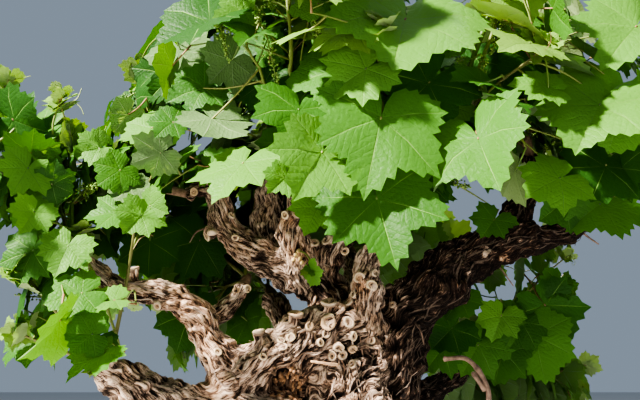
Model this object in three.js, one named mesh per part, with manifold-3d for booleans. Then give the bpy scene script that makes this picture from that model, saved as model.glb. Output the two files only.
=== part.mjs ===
// An old head-trained grapevine in early summer, in millimetres, with +Z up.
// The origin is the centre of the flat cut under the trunk, at ground level. -Y is the side that is seen.
// Each limb is a tapering sweep, and each mass of foliage is one stem with its shoots and leaves.
import * as THREE from "three";
import { mergeVertices } from "three/addons/utils/BufferGeometryUtils.js";
import Module from "manifold-3d";

const wasm = await Module();
wasm.setup();

const GAP = 0.35; // clear space between two limbs, and between a limb and the stem on it
const LEAF_LENGTH = 114; // from the end of the leaf stalk to the tip of a full-grown blade
const LEAF_THICK = 3.4; // at the middle of the blade
const STALK_SIZE = 2.6; // the width of a leaf's three-sided stalk
const SHOOT_STEP = 122; // between two bends of a shoot
const LEAF_PLACES = [0.3, 0.8]; // where the leaves stand on each step
const SHOOT_RADIUS = { foot: 6.5, tip: 3.4 };
const STEM_LENGTH = 52;
const EDGE_SLACK = 60; // how much nearer to another mass's shoots than to its own a leaf's edge may be
const LIMB_CLEARANCE = 5; // least distance from a leaf to the wood
const SHOOT_CLEARANCE = 12; // least distance from a shoot to the wood, and half that from another mass's
const LEAF_APART = 30; // least distance between the middles of two leaves of a mass
const DISC_SHARE = 0.85; // a blade's radius for the crossing test, as a share of its middle to its tip
const TRIES = 6;
const SLIVER = 0.2; // edges shorter than this are dropped from a finished mass
const HEART = new THREE.Vector3(0, 260, 600); // a point behind the trunk, which the leaves face away from
const UP = new THREE.Vector3(0, 0, 1);

const BARK = new THREE.MeshStandardMaterial({ color: 0x6e4f3c, roughness: 0.95, metalness: 0 });
const DRY_CANE = new THREE.MeshStandardMaterial({ color: 0xa8826a, roughness: 0.8, metalness: 0 });
const FOLIAGE = new THREE.MeshStandardMaterial({ color: 0x5d9a35, roughness: 0.6, metalness: 0 });

// The trunk from its root flare to the crotch that the boughs leave.
const TRUNK = {
  name: "trunk",
  path: [[0, 0, 0], [-4, 0, 130], [-2, 2, 270], [2, 4, 380], [14, 4, 462]],
  radius: [[0, 152], [0.1, 124], [0.28, 103], [0.52, 98], [0.7, 106], [0.86, 90], [1, 48]],
  depth: 0.86, // how deep the section is, front to back, beside its width
  sides: 20,
  rings: 8,
  lobes: 5, // ridges that run out into the root flare
};

// Each limb has a foot, one or more bends and a tip, with its radius at the foot and at the tip.
const LIMBS = [
  { name: "left_bough", path: [[20, -15, 468], [-91, -70, 428], [-204, -100, 366]], radius: [50, 45] },
  { name: "low_left_arm", path: [[-40, -40, 268], [-172, -98, 316], [-284, -140, 324], [-374, -180, 364]], radius: [44, 35] },
  { name: "upper_left_arm", path: [[-204, -98, 376], [-242, -110, 425], [-270, -120, 476], [-312, -130, 507]], radius: [32, 23] },
  { name: "outer_left_arm", path: [[-300, -128, 503], [-349, -140, 513], [-386, -160, 514], [-455, -180, 557]], radius: [24, 13] },
  { name: "left_spur_arm", path: [[-262, -112, 464], [-229, -62, 491], [-203, -30, 530]], radius: [17, 16] },
  { name: "right_bough", path: [[58, 0, 300], [95, 0, 395], [110, 0, 480], [168, 0, 556]], radius: [42, 52] },
  { name: "right_arm", path: [[150, 0, 540], [242, 0, 604], [314, 0, 630], [388, 0, 638]], radius: [54, 32] },
  { name: "outer_right_arm", path: [[372, 0, 637], [425, 0, 645], [475, 0, 672], [527, 0, 703]], radius: [32, 15] },
  { name: "right_riser", path: [[318, 0, 648], [352, 0, 706], [373, 0, 763], [381, 0, 810]], radius: [33, 17] },
  { name: "centre_bough", path: [[2, 35, 452], [-45, 20, 540], [-120, 0, 583]], radius: [50, 46] },
  { name: "crooked_arm", path: [[-132, 0, 582], [-200, -20, 616], [-240, -30, 662], [-254, -30, 708]], radius: [32, 24] },
  { name: "crooked_head", path: [[-254, -30, 698], [-268, -36, 728], [-290, -44, 730], [-318, -50, 718]], radius: [22, 14] },
  { name: "dark_head", path: [[-136, 16, 590], [-162, 30, 660], [-155, 30, 740], [-148, 30, 779]], radius: [36, 24] },
  { name: "front_head", path: [[-92, -20, 578], [-106, -50, 635], [-94, -52, 704]], radius: [35, 24] },
  { name: "short_head", path: [[-52, 0, 572], [-26, -20, 616], [8, -22, 652]], radius: [31, 18] },
  { name: "middle_head", path: [[34, -25, 455], [31, -50, 520], [32, -50, 567], [44, -52, 606]], radius: [39, 22] },
  { name: "back_left_arm", path: [[-40, 60, 390], [-122, 200, 470], [-163, 280, 556]], radius: [34, 25] },
  { name: "back_right_arm", path: [[70, 40, 310], [197, 150, 359], [290, 250, 412]], radius: [30, 17] },
  { name: "back_arm", path: [[26, 50, 432], [36, 190, 540], [27, 340, 662]], radius: [38, 24] },
];

// Stubs of old pruning: which limb each stands on, how far along it, which way, how far its end is from
// the limb's axis, and how thick it is.
const KNOBS = [
  { on: "left_bough", at: 0.2, way: [-0.2, -0.6, 0.75], reach: 66, radius: 15 },
  { on: "left_bough", at: 0.3, way: [0.1, -1, 0.3], reach: 64, radius: 13 },
  { on: "left_bough", at: 0.5, way: [-0.1, -0.5, 0.85], reach: 62, radius: 12 },
  { on: "left_bough", at: 0.76, way: [-0.2, -0.4, 0.9], reach: 58, radius: 11 },
  { on: "outer_left_arm", at: 0.45, way: [0, -0.2, 1], reach: 38, radius: 9 },
  { on: "crooked_arm", at: 0.75, way: [-0.7, -0.3, -0.6], reach: 46, radius: 9 },
  { on: "front_head", at: 0.55, way: [0.3, -0.8, 0.5], reach: 48, radius: 14 },
  { on: "middle_head", at: 0.9, way: [0.8, -0.5, 0.3], reach: 42, radius: 9 },
  { on: "right_arm", at: 0.5, way: [0.1, -0.6, 0.8], reach: 66, radius: 12 },
];

// A dead, bare cane that rises from the trunk's foot and hooks over, and the stub on it.
const CANE = { path: [[60, -40, 170], [190, -78, 262], [238, -80, 340], [206, -80, 402], [164, -80, 403]], radius: [8, 4.5] };
const CANE_STUB = { path: [[232, -80, 350], [213, -80, 380]], radius: [5, 4.5] };

// Each mass grows from the tip of its bough. Its shoots spread round one aim, an azimuth from +X towards
// +Y and a rise above the horizon, both in degrees, and then lift towards the light or arch over.
const MASSES = [
  { name: "low_left_leaves", bough: "low_left_arm", aim: [190, 50], spread: 36, shoots: 5, length: 330, lift: 0.2 },
  { name: "outer_left_leaves", bough: "outer_left_arm", aim: [172, 40], spread: 36, shoots: 5, length: 380, lift: 0.1 },
  { name: "left_spur_leaves", bough: "left_spur_arm", aim: [112, 28], spread: 34, shoots: 4, length: 380, lift: 0.2 },
  { name: "crooked_leaves", bough: "crooked_head", aim: [186, 44], spread: 34, shoots: 5, length: 430, lift: 0.1 },
  { name: "dark_head_leaves", bough: "dark_head", aim: [125, 72], spread: 26, shoots: 5, length: 560, lift: 0 },
  { name: "front_head_leaves", bough: "front_head", aim: [238, 58], spread: 26, shoots: 5, length: 500, lift: 0.1 },
  { name: "short_head_leaves", bough: "short_head", aim: [60, 80], spread: 22, shoots: 3, length: 620, lift: 0 },
  { name: "middle_head_leaves", bough: "middle_head", aim: [292, 60], spread: 30, shoots: 5, length: 440, lift: 0.1 },
  { name: "riser_leaves", bough: "right_riser", aim: [130, 72], spread: 34, shoots: 4, length: 540, lift: 0 },
  { name: "outer_right_leaves", bough: "outer_right_arm", aim: [15, 66], spread: 40, shoots: 5, length: 400, lift: 0 },
  { name: "back_left_leaves", bough: "back_left_arm", aim: [135, 38], spread: 38, shoots: 4, length: 480, lift: 0.2 },
  { name: "back_right_leaves", bough: "back_right_arm", aim: [56, 30], spread: 36, shoots: 4, length: 440, lift: 0.1 },
  { name: "back_leaves", bough: "back_arm", aim: [85, 58], spread: 34, shoots: 4, length: 560, lift: 0 },
];

// The front stays open where the old wood shows. Seen from this point, no leaf before the boughs hangs
// below the line, whose points are x and z in the plane of the trunk's axis.
const SEEN_FROM = new THREE.Vector3(-55, -1200, 360);
const OPEN_LINE = [
  [-470, 590], [-337, 592], [-336, 748], [-188, 741], [-24, 714], [-20, 592],
  [93, 592], [145, 647], [270, 709], [436, 741], [515, 720],
];

// Random draws that are the same every time.
class Draws {
  constructor(seed) {
    this.state = seed;
  }
  next() {
    this.state = (this.state * 16807) % 2147483647;
    return this.state / 2147483647;
  }
  spread(reach) {
    return (2 * this.next() - 1) * reach;
  }
}

const vector = ([x, y, z]) => new THREE.Vector3(x, y, z);

// A direction from an azimuth and a rise in degrees.
function direction(azimuth, rise) {
  const a = THREE.MathUtils.degToRad(azimuth);
  const e = THREE.MathUtils.degToRad(rise);
  return new THREE.Vector3(Math.cos(a) * Math.cos(e), Math.sin(a) * Math.cos(e), Math.sin(e));
}

// Any unit vector square to the one given.
function squareTo(d) {
  const helper = Math.abs(d.z) < 0.9 ? UP : new THREE.Vector3(1, 0, 0);
  return new THREE.Vector3().crossVectors(helper, d).normalize();
}

function toSolid(geometry) {
  const bare = new THREE.BufferGeometry().setAttribute("position", geometry.getAttribute("position"));
  if (geometry.index) bare.setIndex(geometry.index);
  const merged = mergeVertices(bare, 1e-3);
  return new wasm.Manifold(new wasm.Mesh({
    numProp: 3,
    vertProperties: merged.getAttribute("position").array,
    triVerts: new Uint32Array(merged.index.array),
  }));
}

function toGeometry(solid) {
  const made = solid.getMesh();
  const stride = made.numProp;
  const points = new Float32Array(made.numVert * 3);
  for (let i = 0; i < made.numVert; i++) {
    points.set(made.vertProperties.subarray(i * stride, i * stride + 3), i * 3);
  }
  const geometry = new THREE.BufferGeometry();
  geometry.setAttribute("position", new THREE.BufferAttribute(points, 3));
  geometry.setIndex(new THREE.BufferAttribute(made.triVerts, 1));
  geometry.computeVertexNormals();
  return geometry;
}

const largest = (solid) => solid.decompose().sort((a, b) => b.volume() - a.volume())[0];

// Bends an upright cylinder along a curve. radiusAt gives the radius at a share of the length and an
// angle, and depth flattens the section from front to back.
function sweep({ curve, radiusAt, sides, rings, depth = 1, grow = 0 }) {
  const geometry = new THREE.CylinderGeometry(1, 1, 1, sides, rings);
  const at = geometry.getAttribute("position");
  const frames = curve.computeFrenetFrames(rings, false);
  for (let i = 0; i < at.count; i++) {
    const share = 0.5 + at.getY(i);
    const ring = Math.round(share * rings);
    const angle = Math.atan2(at.getZ(i), at.getX(i));
    const out = Math.hypot(at.getX(i), at.getZ(i));
    const reach = out * (radiusAt(share, angle) + grow);
    const centre = curve.getPointAt(share);
    const past = ring === 0 ? -grow : ring === rings ? grow : 0;
    centre.addScaledVector(frames.tangents[ring], past);
    centre.addScaledVector(frames.normals[ring], reach * Math.cos(angle) * depth);
    centre.addScaledVector(frames.binormals[ring], -reach * Math.sin(angle));
    at.setXYZ(i, centre.x, centre.y, centre.z);
  }
  return toSolid(geometry);
}

const limbCurve = (path) => new THREE.CatmullRomCurve3(path.map(vector), false, "centripetal");

// The radius of a gnarled limb: an even taper, with swellings that come round it in turn.
function gnarled([foot, tip], phase) {
  return (share, angle) => {
    const taper = foot + (tip - foot) * share;
    const swell = 0.05 * Math.sin(2 * angle + 9 * share + phase) + 0.04 * Math.sin(3 * angle - 7 * share);
    return taper * (1 + swell);
  };
}

// The trunk's radius between the heights listed, with ridges that grow towards the ground.
function trunkRadius(share, angle) {
  const steps = TRUNK.radius;
  const next = Math.max(1, steps.findIndex(([at]) => at >= share));
  const [[lowAt, low], [highAt, high]] = [steps[next - 1], steps[next]];
  const radius = THREE.MathUtils.lerp(low, high, (share - lowAt) / (highAt - lowAt));
  const flare = 0.03 + 0.13 * Math.max(0, 1 - share / 0.35) ** 2;
  return radius * (1 + flare * Math.cos(TRUNK.lobes * angle + 1.5 * share));
}

function trunkSolid(grow) {
  const { path, sides, rings, depth } = TRUNK;
  // The trunk stands upright at its foot, so its sections are turned about the vertical there.
  const curve = limbCurve(path);
  const geometry = new THREE.CylinderGeometry(1, 1, 1, sides, rings);
  const at = geometry.getAttribute("position");
  for (let i = 0; i < at.count; i++) {
    const share = 0.5 + at.getY(i);
    const ring = Math.round(share * rings);
    const angle = Math.atan2(at.getZ(i), at.getX(i));
    const reach = Math.hypot(at.getX(i), at.getZ(i)) * (trunkRadius(share, angle) + grow);
    const centre = curve.getPointAt(share);
    centre.x += reach * Math.cos(angle);
    centre.y -= reach * Math.sin(angle) * depth;
    centre.z += ring === rings ? grow : 0;
    at.setXYZ(i, centre.x, centre.y, centre.z);
  }
  return toSolid(geometry);
}

function limbSolid(limb, phase, grow) {
  const curve = limbCurve(limb.path);
  const thick = limb.radius[0];
  const sides = thick > 40 ? 10 : thick > 25 ? 8 : 6;
  const rings = Math.max(3, Math.round(curve.getLength() / (thick > 40 ? 56 : 46)));
  const parts = [sweep({ curve, radiusAt: gnarled(limb.radius, phase), sides, rings, grow })];
  for (const { at, way, reach, radius } of KNOBS.filter(({ on }) => on === limb.name)) {
    const foot = curve.getPointAt(at);
    const end = foot.clone().addScaledVector(vector(way).normalize(), reach);
    const stub = new THREE.LineCurve3(foot, end);
    parts.push(sweep({ curve: stub, radiusAt: () => radius, sides: 6, rings: 1, grow }));
  }
  return wasm.Manifold.union(parts);
}

// Limbs are cut where they meet the limbs before them, so that each one sits a hair clear of its seat.
function makeLimbs() {
  const solids = new Map([[TRUNK.name, trunkSolid(0)]]);
  let taken = trunkSolid(GAP);
  LIMBS.forEach((limb, i) => {
    solids.set(limb.name, largest(limbSolid(limb, i, 0).subtract(taken)));
    taken = taken.add(limbSolid(limb, i, GAP));
  });
  return { solids, wood: taken };
}

function caneSolid(wood) {
  const parts = [CANE, CANE_STUB].map(({ path, radius }) => {
    const curve = limbCurve(path);
    return sweep({ curve, radiusAt: gnarled(radius, 0), sides: 6, rings: path.length * 2 });
  });
  return largest(parts[0].add(parts[1]).subtract(wood));
}

// The direction of a path at each of its points, and one side that turns as little as it can.
function framesAlong(points) {
  const last = points.length - 1;
  let side = squareTo(points[1].clone().sub(points[0]).normalize());
  return points.map((point, i) => {
    const along = points[Math.min(i + 1, last)].clone().sub(points[Math.max(i - 1, 0)]).normalize();
    side = side.clone().addScaledVector(along, -side.dot(along)).normalize();
    return { along, side };
  });
}

// A three-sided twig through the points given, which ends as flat triangles.
function twigSolid(points, footRadius, tipRadius) {
  const rings = points.length - 1;
  const spots = [];
  const faces = [];
  framesAlong(points).forEach(({ along, side }, i) => {
    const radius = THREE.MathUtils.lerp(footRadius, tipRadius, i / rings);
    for (let k = 0; k < 3; k++) {
      const corner = side.clone().applyAxisAngle(along, (k * 2 * Math.PI) / 3);
      spots.push(points[i].clone().addScaledVector(corner, radius));
    }
  });
  for (let i = 0; i < rings; i++) {
    for (let k = 0; k < 3; k++) {
      const [a, b] = [3 * i + k, 3 * i + ((k + 1) % 3)];
      faces.push(a, b, b + 3, a, b + 3, a + 3);
    }
  }
  const last = 3 * rings;
  faces.push(0, 2, 1, last, last + 1, last + 2);
  return solidFrom(spots, faces);
}

function solidFrom(spots, faces) {
  return new wasm.Manifold(new wasm.Mesh({
    numProp: 3,
    vertProperties: new Float32Array(spots.flatMap((s) => [s.x, s.y, s.z])),
    triVerts: new Uint32Array(faces),
  }));
}

// A leaf and its stalk in one solid. The blade is a five-pointed outline round a middle that is raised
// on both faces, and it hangs from the end of the stalk with its face turned to the light.
function leafSpots({ node, stalk, face, size, cup, droop }) {
  const across = new THREE.Vector3().crossVectors(stalk.clone().normalize(), face);
  if (across.length() < 0.05) across.copy(squareTo(face));
  across.normalize();
  const along = new THREE.Vector3().crossVectors(face, across).normalize();
  if (along.z > 0.25) {
    along.negate();
    across.negate();
  }
  const reach = stalk.clone().normalize();
  const fold = Math.atan2(reach.dot(face), reach.dot(along));
  const under = along.clone().multiplyScalar(Math.sin(fold)).addScaledVector(face, -Math.cos(fold));
  const below = under.clone().sub(face).normalize();
  const end = node.clone().add(stalk);
  const length = LEAF_LENGTH * size;
  const place = (x, y, z) => end.clone().addScaledVector(across, x * length)
    .addScaledVector(along, y * length).addScaledVector(face, z * length);
  const [thin, stout] = [STALK_SIZE / 2, STALK_SIZE * 0.6];
  const half = (LEAF_THICK * size) / 2 / length;
  return [
    node.clone().addScaledVector(across, -thin), node.clone().addScaledVector(across, thin),
    node.clone().addScaledVector(under, stout),
    end.clone().addScaledVector(across, -thin), end.clone().addScaledVector(across, thin),
    end.clone().addScaledVector(below, stout),
    place(-0.5, -0.22, cup * 0.6), place(-0.6, 0.42, cup), place(0, 1, -droop),
    place(0.6, 0.42, cup), place(0.5, -0.22, cup * 0.6),
    place(0, 0.3, half), place(0, 0.3, -half),
  ];
}

// The places in that list that the rules below read.
const STALK_END = 3;
const TIP = 8;
const MIDDLE = 11;
const UNDERSIDE = 12;
const outlineOf = (spots) => spots.slice(6, 11);

const LEAF_FACES = [
  0, 2, 1, 0, 1, 4, 0, 4, 3, 1, 2, 5, 1, 5, 4, 2, 0, 3, 2, 3, 5,
  11, 3, 4, 11, 4, 10, 11, 10, 9, 11, 9, 8, 11, 8, 7, 11, 7, 6, 11, 6, 3,
  12, 10, 5, 12, 9, 10, 12, 8, 9, 12, 7, 8, 12, 6, 7, 12, 5, 6,
  3, 6, 5, 4, 5, 10,
];

// The least distance from a point to a line through points.
function distanceToPath(point, path) {
  let least = Infinity;
  for (let i = 1; i < path.length; i++) {
    const near = new THREE.Line3(path[i - 1], path[i]).closestPointToPoint(point, true, new THREE.Vector3());
    least = Math.min(least, near.distanceTo(point));
  }
  return least;
}

// Whether a point in front of the boughs would hide them.
function hidesWood(point) {
  if (point.y > 0) return false;
  const scale = -SEEN_FROM.y / (point.y - SEEN_FROM.y);
  const { x, z } = point.clone().sub(SEEN_FROM).multiplyScalar(scale).add(SEEN_FROM);
  const next = OPEN_LINE.findIndex(([at]) => at > x);
  if (next < 1) return false;
  const [[lowX, lowZ], [highX, highZ]] = [OPEN_LINE[next - 1], OPEN_LINE[next]];
  return z < THREE.MathUtils.lerp(lowZ, highZ, (x - lowX) / (highX - lowX));
}

// The wood as balls along every limb, which the shoots and leaves stay clear of.
function woodBalls() {
  const balls = [];
  const steps = 20;
  const limbs = [...LIMBS, { path: TRUNK.path, radius: [125, 60] }];
  for (const { path, radius: [foot, tip] } of limbs) {
    const curve = limbCurve(path);
    for (let i = 0; i <= steps; i++) {
      balls.push({ at: curve.getPointAt(i / steps), radius: 1.09 * THREE.MathUtils.lerp(foot, tip, i / steps) });
    }
  }
  return balls;
}

const clearOfWood = (point, balls, clearance) =>
  balls.every(({ at, radius }) => at.distanceTo(point) > radius + clearance);

// The stem and shoots of one mass, which go as far as they stay clear of the wood and of other masses.
function planShoots(mass, own, balls, planned) {
  const limb = LIMBS.find(({ name }) => name === mass.bough);
  const [before, tip] = limb.path.slice(-2).map(vector);
  const heading = tip.clone().sub(before).normalize();
  const aim = direction(...mass.aim);
  const stemWay = heading.clone().add(aim).normalize();
  const top = tip.clone().addScaledVector(stemWay, STEM_LENGTH);
  const draws = new Draws(7919 * (own + 3));
  const side = squareTo(aim);
  const other = new THREE.Vector3().crossVectors(aim, side);
  const start = 360 * draws.next();
  const shoots = [];
  for (let k = 0; k < mass.shoots; k++) {
    const roll = THREE.MathUtils.degToRad(start + (360 * k) / mass.shoots + draws.spread(15));
    const lean = THREE.MathUtils.degToRad(mass.spread * (0.8 + 0.4 * draws.next()));
    const way = aim.clone().multiplyScalar(Math.cos(lean))
      .addScaledVector(side, Math.sin(lean) * Math.cos(roll))
      .addScaledVector(other, Math.sin(lean) * Math.sin(roll));
    const foot = tip.clone().lerp(top, 0.45 + (0.5 * k) / (mass.shoots - 1));
    const points = shootPoints(foot, way, mass, draws);
    const stop = points.findIndex((point, i) => i > 1 && (
      !clearOfWood(point, balls, SHOOT_CLEARANCE)
      || planned.some((plan) => plan.shoots.some((shoot) => distanceToPath(point, shoot) < 2 * SHOOT_CLEARANCE))
    ));
    shoots.push(stop < 0 ? points : points.slice(0, stop));
  }
  return { tip, stemWay, top, footRadius: limb.radius[1] * 0.62, shoots: shoots.filter((s) => s.length > 2) };
}

function shootPoints(foot, way, mass, draws) {
  const length = mass.length * (0.85 + 0.3 * draws.next());
  const count = Math.round(length / SHOOT_STEP);
  const points = [foot.clone()];
  const at = foot.clone();
  for (let i = 1; i <= count; i++) {
    const share = i / count;
    const step = way.clone().addScaledVector(UP, mass.lift * share - 0.35 * share * share);
    step.add(new THREE.Vector3(draws.spread(0.1), draws.spread(0.1), draws.spread(0.06)));
    at.addScaledVector(step.normalize(), length / count);
    points.push(at.clone());
  }
  return points;
}

// How large a leaf is beside a full-grown one: small at the shoot's foot and smallest at its tip.
function leafSize(share) {
  return Math.min(1, 0.76 + 1.4 * share) * (share < 0.65 ? 1 : 1 - 1.2 * (share - 0.65));
}

// One way for a leaf to grow from a place on a shoot, which is a count of steps. It leaves the middle
// of one of the twig's three sides.
function tryLeaf(points, frames, place, seed, which) {
  const draws = new Draws(seed);
  draws.next();
  const step = Math.floor(place);
  const node = points[step].clone().lerp(points[step + 1], place - step);
  const along = points[step + 1].clone().sub(points[step]).normalize();
  const side = frames[step].side.clone().lerp(frames[step + 1].side, place - step).normalize();
  const out = side.clone().applyAxisAngle(along, ((which + 0.5) * 2 * Math.PI) / 3 + draws.spread(0.2));
  const size = leafSize(place / (points.length - 1)) * (0.88 + 0.24 * draws.next());
  const stalk = out.addScaledVector(along, 0.4 + draws.spread(0.4)).normalize();
  stalk.multiplyScalar(LEAF_LENGTH * size * (0.45 + 0.3 * draws.next()));
  const face = node.clone().sub(HEART);
  face.setZ(face.z * 0.25).normalize().addScaledVector(UP, 0.3);
  face.add(new THREE.Vector3(draws.spread(0.45), draws.spread(0.45), draws.spread(0.3))).normalize();
  const cup = draws.spread(0.12);
  const droop = 0.02 + 0.16 * draws.next();
  return leafSpots({ node, stalk, face, size, cup, droop });
}

// The leaves of every mass, one at each node of its shoots. A leaf is tried a few ways round, and is
// skipped if every one would leave the mass's own space, meet the wood, or lie on a shoot or another
// leaf. That space is all that lies nearer to its own shoots than to any other mass's, and the edge of
// a leaf may stand a little way out of it.
function planLeaves(plans, balls) {
  const paths = plans.map(({ tip, top, shoots }) => [[tip, top], ...shoots]);
  const everyPath = paths.flat();
  const distance = (point, k) => Math.min(...paths[k].map((path) => distanceToPath(point, path)));
  const inside = (point, own, slack) => {
    const mine = distance(point, own) - slack;
    return paths.every((path, k) => k === own || distance(point, k) > mine);
  };
  const free = (probe, own) => clearOfWood(probe, balls, LIMB_CLEARANCE) && !hidesWood(probe)
    && inside(probe, own, EDGE_SLACK);
  const fits = (spots, own, kept) => inside(spots[MIDDLE], own, 0)
    && leafProbes(spots).every((probe) => free(probe, own))
    && !everyPath.some((path) => pierces(path, spots))
    && !kept.flat().some((other) => leavesCross(spots, other));
  const kept = plans.map(() => []);
  plans.forEach(({ shoots }, own) => shoots.forEach((points, s) => {
    const frames = framesAlong(points);
    const places = points.slice(1).flatMap((_, step) => LEAF_PLACES.map((share) => step + share));
    for (const [i, place] of places.entries()) {
      for (let attempt = 0; attempt < TRIES; attempt++) {
        const seed = 104729 * (own + 1) + 7919 * (s + 1) + 611 * i + 52711 * attempt;
        const spots = tryLeaf(points, frames, place, seed, i + attempt);
        if (fits(spots, own, kept)) {
          kept[own].push(spots);
          break;
        }
      }
    }
  }));
  return kept;
}

// Points all over a leaf: its corners and the middles of its outline's sides.
function leafProbes(spots) {
  const outline = outlineOf(spots);
  const middles = outline.map((spot, k) => spot.clone().lerp(outline[(k + 1) % outline.length], 0.5));
  return [spots[STALK_END], ...outline, ...middles, spots[MIDDLE]];
}

// Whether a line through points goes through a leaf's blade, taken as a disc that reaches past its sides.
function pierces(path, spots) {
  const centre = spots[MIDDLE];
  const normal = centre.clone().sub(spots[UNDERSIDE]).normalize();
  const radius = spots[TIP].distanceTo(centre) * DISC_SHARE;
  return path.some((to, i) => {
    if (i === 0) return false;
    const from = path[i - 1];
    const [a, b] = [from.clone().sub(centre).dot(normal), to.clone().sub(centre).dot(normal)];
    if (a * b > 0) return false;
    return from.clone().lerp(to, a / (a - b)).distanceTo(centre) < radius;
  });
}

// Whether either of two leaves goes through the other: its outline, its ribs or its stalk.
function leavesCross(one, two) {
  const apart = one[MIDDLE].distanceTo(two[MIDDLE]);
  if (apart > 2.4 * LEAF_LENGTH) return false;
  if (apart < LEAF_APART) return true;
  const linesOf = (s) => {
    const outline = outlineOf(s);
    return [[...outline, outline[0]], [s[0], s[STALK_END]], ...outline.map((end) => [s[MIDDLE], end])];
  };
  return linesOf(one).some((path) => pierces(path, two)) || linesOf(two).some((path) => pierces(path, one));
}

function massSolid(plan, blades, wood) {
  const stemFoot = plan.tip.clone().addScaledVector(plan.stemWay, -8);
  const stemTop = plan.top.clone().addScaledVector(plan.stemWay, 5);
  const parts = [twigSolid([stemFoot, stemTop], plan.footRadius, 9)];
  for (const points of plan.shoots) parts.push(twigSolid(points, SHOOT_RADIUS.foot, SHOOT_RADIUS.tip));
  return largest(wasm.Manifold.union([...parts, ...blades]).subtract(wood).simplify(SLIVER));
}

function makeMasses(wood) {
  const balls = woodBalls();
  const plans = [];
  MASSES.forEach((mass, own) => plans.push(planShoots(mass, own, balls, plans)));
  const leaves = planLeaves(plans, balls);
  const solids = [];
  plans.forEach((plan, own) => {
    const blades = leaves[own].map((spots) => solidFrom(spots, LEAF_FACES))
      .filter((blade) => solids.every((other) => blade.minGap(other, 2 * GAP) >= GAP));
    solids.push(massSolid(plan, blades, wood));
  });
  return solids;
}

function mesh(name, solid, material) {
  const made = new THREE.Mesh(toGeometry(solid), material);
  made.name = name;
  return made;
}

const vine = new THREE.Group();
const { solids, wood } = makeLimbs();
for (const [name, solid] of solids) vine.add(mesh(name, solid, BARK));
vine.add(mesh("dead_cane", caneSolid(wood), DRY_CANE));
makeMasses(wood).forEach((solid, i) => vine.add(mesh(MASSES[i].name, solid, FOLIAGE)));

export default vine;
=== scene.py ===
from collections import namedtuple
from functools import cache
from math import atan2, cos, degrees, hypot, pi, radians, sin

import bmesh
import bpy
import numpy as np
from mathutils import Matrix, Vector
from mathutils.bvhtree import BVHTree
from numpy.linalg import norm


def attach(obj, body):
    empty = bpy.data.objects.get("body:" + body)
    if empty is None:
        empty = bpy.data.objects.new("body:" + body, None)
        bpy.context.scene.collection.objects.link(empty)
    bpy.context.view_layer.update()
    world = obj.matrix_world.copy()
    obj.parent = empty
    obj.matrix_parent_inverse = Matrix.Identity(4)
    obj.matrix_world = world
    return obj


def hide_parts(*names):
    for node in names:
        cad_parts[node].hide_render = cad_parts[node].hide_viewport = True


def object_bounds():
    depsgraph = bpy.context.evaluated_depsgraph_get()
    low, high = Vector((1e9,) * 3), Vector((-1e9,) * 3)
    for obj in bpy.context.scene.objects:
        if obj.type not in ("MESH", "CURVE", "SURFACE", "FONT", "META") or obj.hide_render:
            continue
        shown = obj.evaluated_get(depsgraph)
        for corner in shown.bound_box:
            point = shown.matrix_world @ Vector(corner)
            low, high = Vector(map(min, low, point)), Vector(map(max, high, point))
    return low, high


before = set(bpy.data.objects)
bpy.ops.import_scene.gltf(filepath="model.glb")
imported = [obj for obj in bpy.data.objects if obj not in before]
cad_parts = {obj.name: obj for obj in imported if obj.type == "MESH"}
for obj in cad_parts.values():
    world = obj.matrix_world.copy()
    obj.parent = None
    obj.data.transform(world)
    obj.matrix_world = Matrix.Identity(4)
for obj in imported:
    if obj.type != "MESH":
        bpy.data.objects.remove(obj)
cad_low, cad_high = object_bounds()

# An old head-trained grapevine in early summer. Every size in this file is in millimetres and is made
# metres when a mesh is built. The origin is the centre of the flat cut under the trunk, with +Z up, and
# -Y is the side that is seen.

MM = 0.001
UP = np.array([0.0, 0.0, 1.0])

# Foliage sizes, the same as the solid part's.
LEAF_LENGTH = 114
SHOOT_STEP = 122
LEAF_PLACES = (0.3, 0.8)
STEM_LENGTH = 52
EDGE_SLACK = 60
LIMB_CLEARANCE = 5
SHOOT_CLEARANCE = 12
LEAF_APART = 30
DISC_SHARE = 0.85
TRIES = 6
ANY_ANGLE = (0, 6.283)
HEART = np.array([0.0, 260.0, 600.0])
CROWN_LOW, CROWN_HIGH = np.array(cad_low) / MM, np.array(cad_high) / MM

# Finer growth that only the looks have.
SIDE_TWIG_LENGTH = (70, 150)
SIDE_TWIGS = 2
SIDE_TRIES = 4
SIDE_TWIG_CLEARANCE = 6
SIDE_LEAF_APART = 26
SIDE_LEAF_SPREAD = 0.4
SIDE_LEAF_PLACES = (0.45, 0.75, 1.0)
BUDS = 78

# The wood's skin.
ROUGH_VOXEL = 5.0
FINE_VOXEL = 2.1
RING_STEP = 14
BLEND_REACH = 9.0
GROUND_CLEARANCE = 8.0
# How much painted shade darkens the bark's colour under the crown.
PAINTED_CROWN_SHADE = 0.44
SHREDS = 1500
BURR_KNOTS = 95

# How long the marks of the bark are along a limb, and how wide across it.
FURROW_SIZE = (80, 24, 24)
STRAND_SIZE = (30, 4.0, 4.0)
FIBRE_SIZE = (15, 2.9, 2.9)
FLAKE_SIZE = (17, 7, 7)
PATCH_SIZE = (80, 36, 36)
SHRED_SHARES = (0, 0.2, 0.4, 0.6, 0.8, 1)
SHRED_WIDTHS = np.array([0.4, 0.9, 1, 0.95, 0.75, 0.3])

# Painted light and shade on the wood: lighter on the side that faces up towards the key light, darker on the
# side turned away.
KEY_LIGHT_WAY = np.array([-0.40, -0.42, 0.81])
PAINTED_LIGHT_SIDE = 0.07
PAINTED_SHADE_SIDE = 0.30

TRUNK_PATH = [(0, 0, 0), (-4, 0, 130), (-2, 2, 270), (2, 4, 380), (14, 4, 462)]
TRUNK_RADIUS = [(0, 152), (0.1, 124), (0.28, 103), (0.52, 98), (0.7, 106), (0.86, 90), (1, 48)]
TRUNK_DEPTH = 0.86
TRUNK_LOBES = 5

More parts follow.
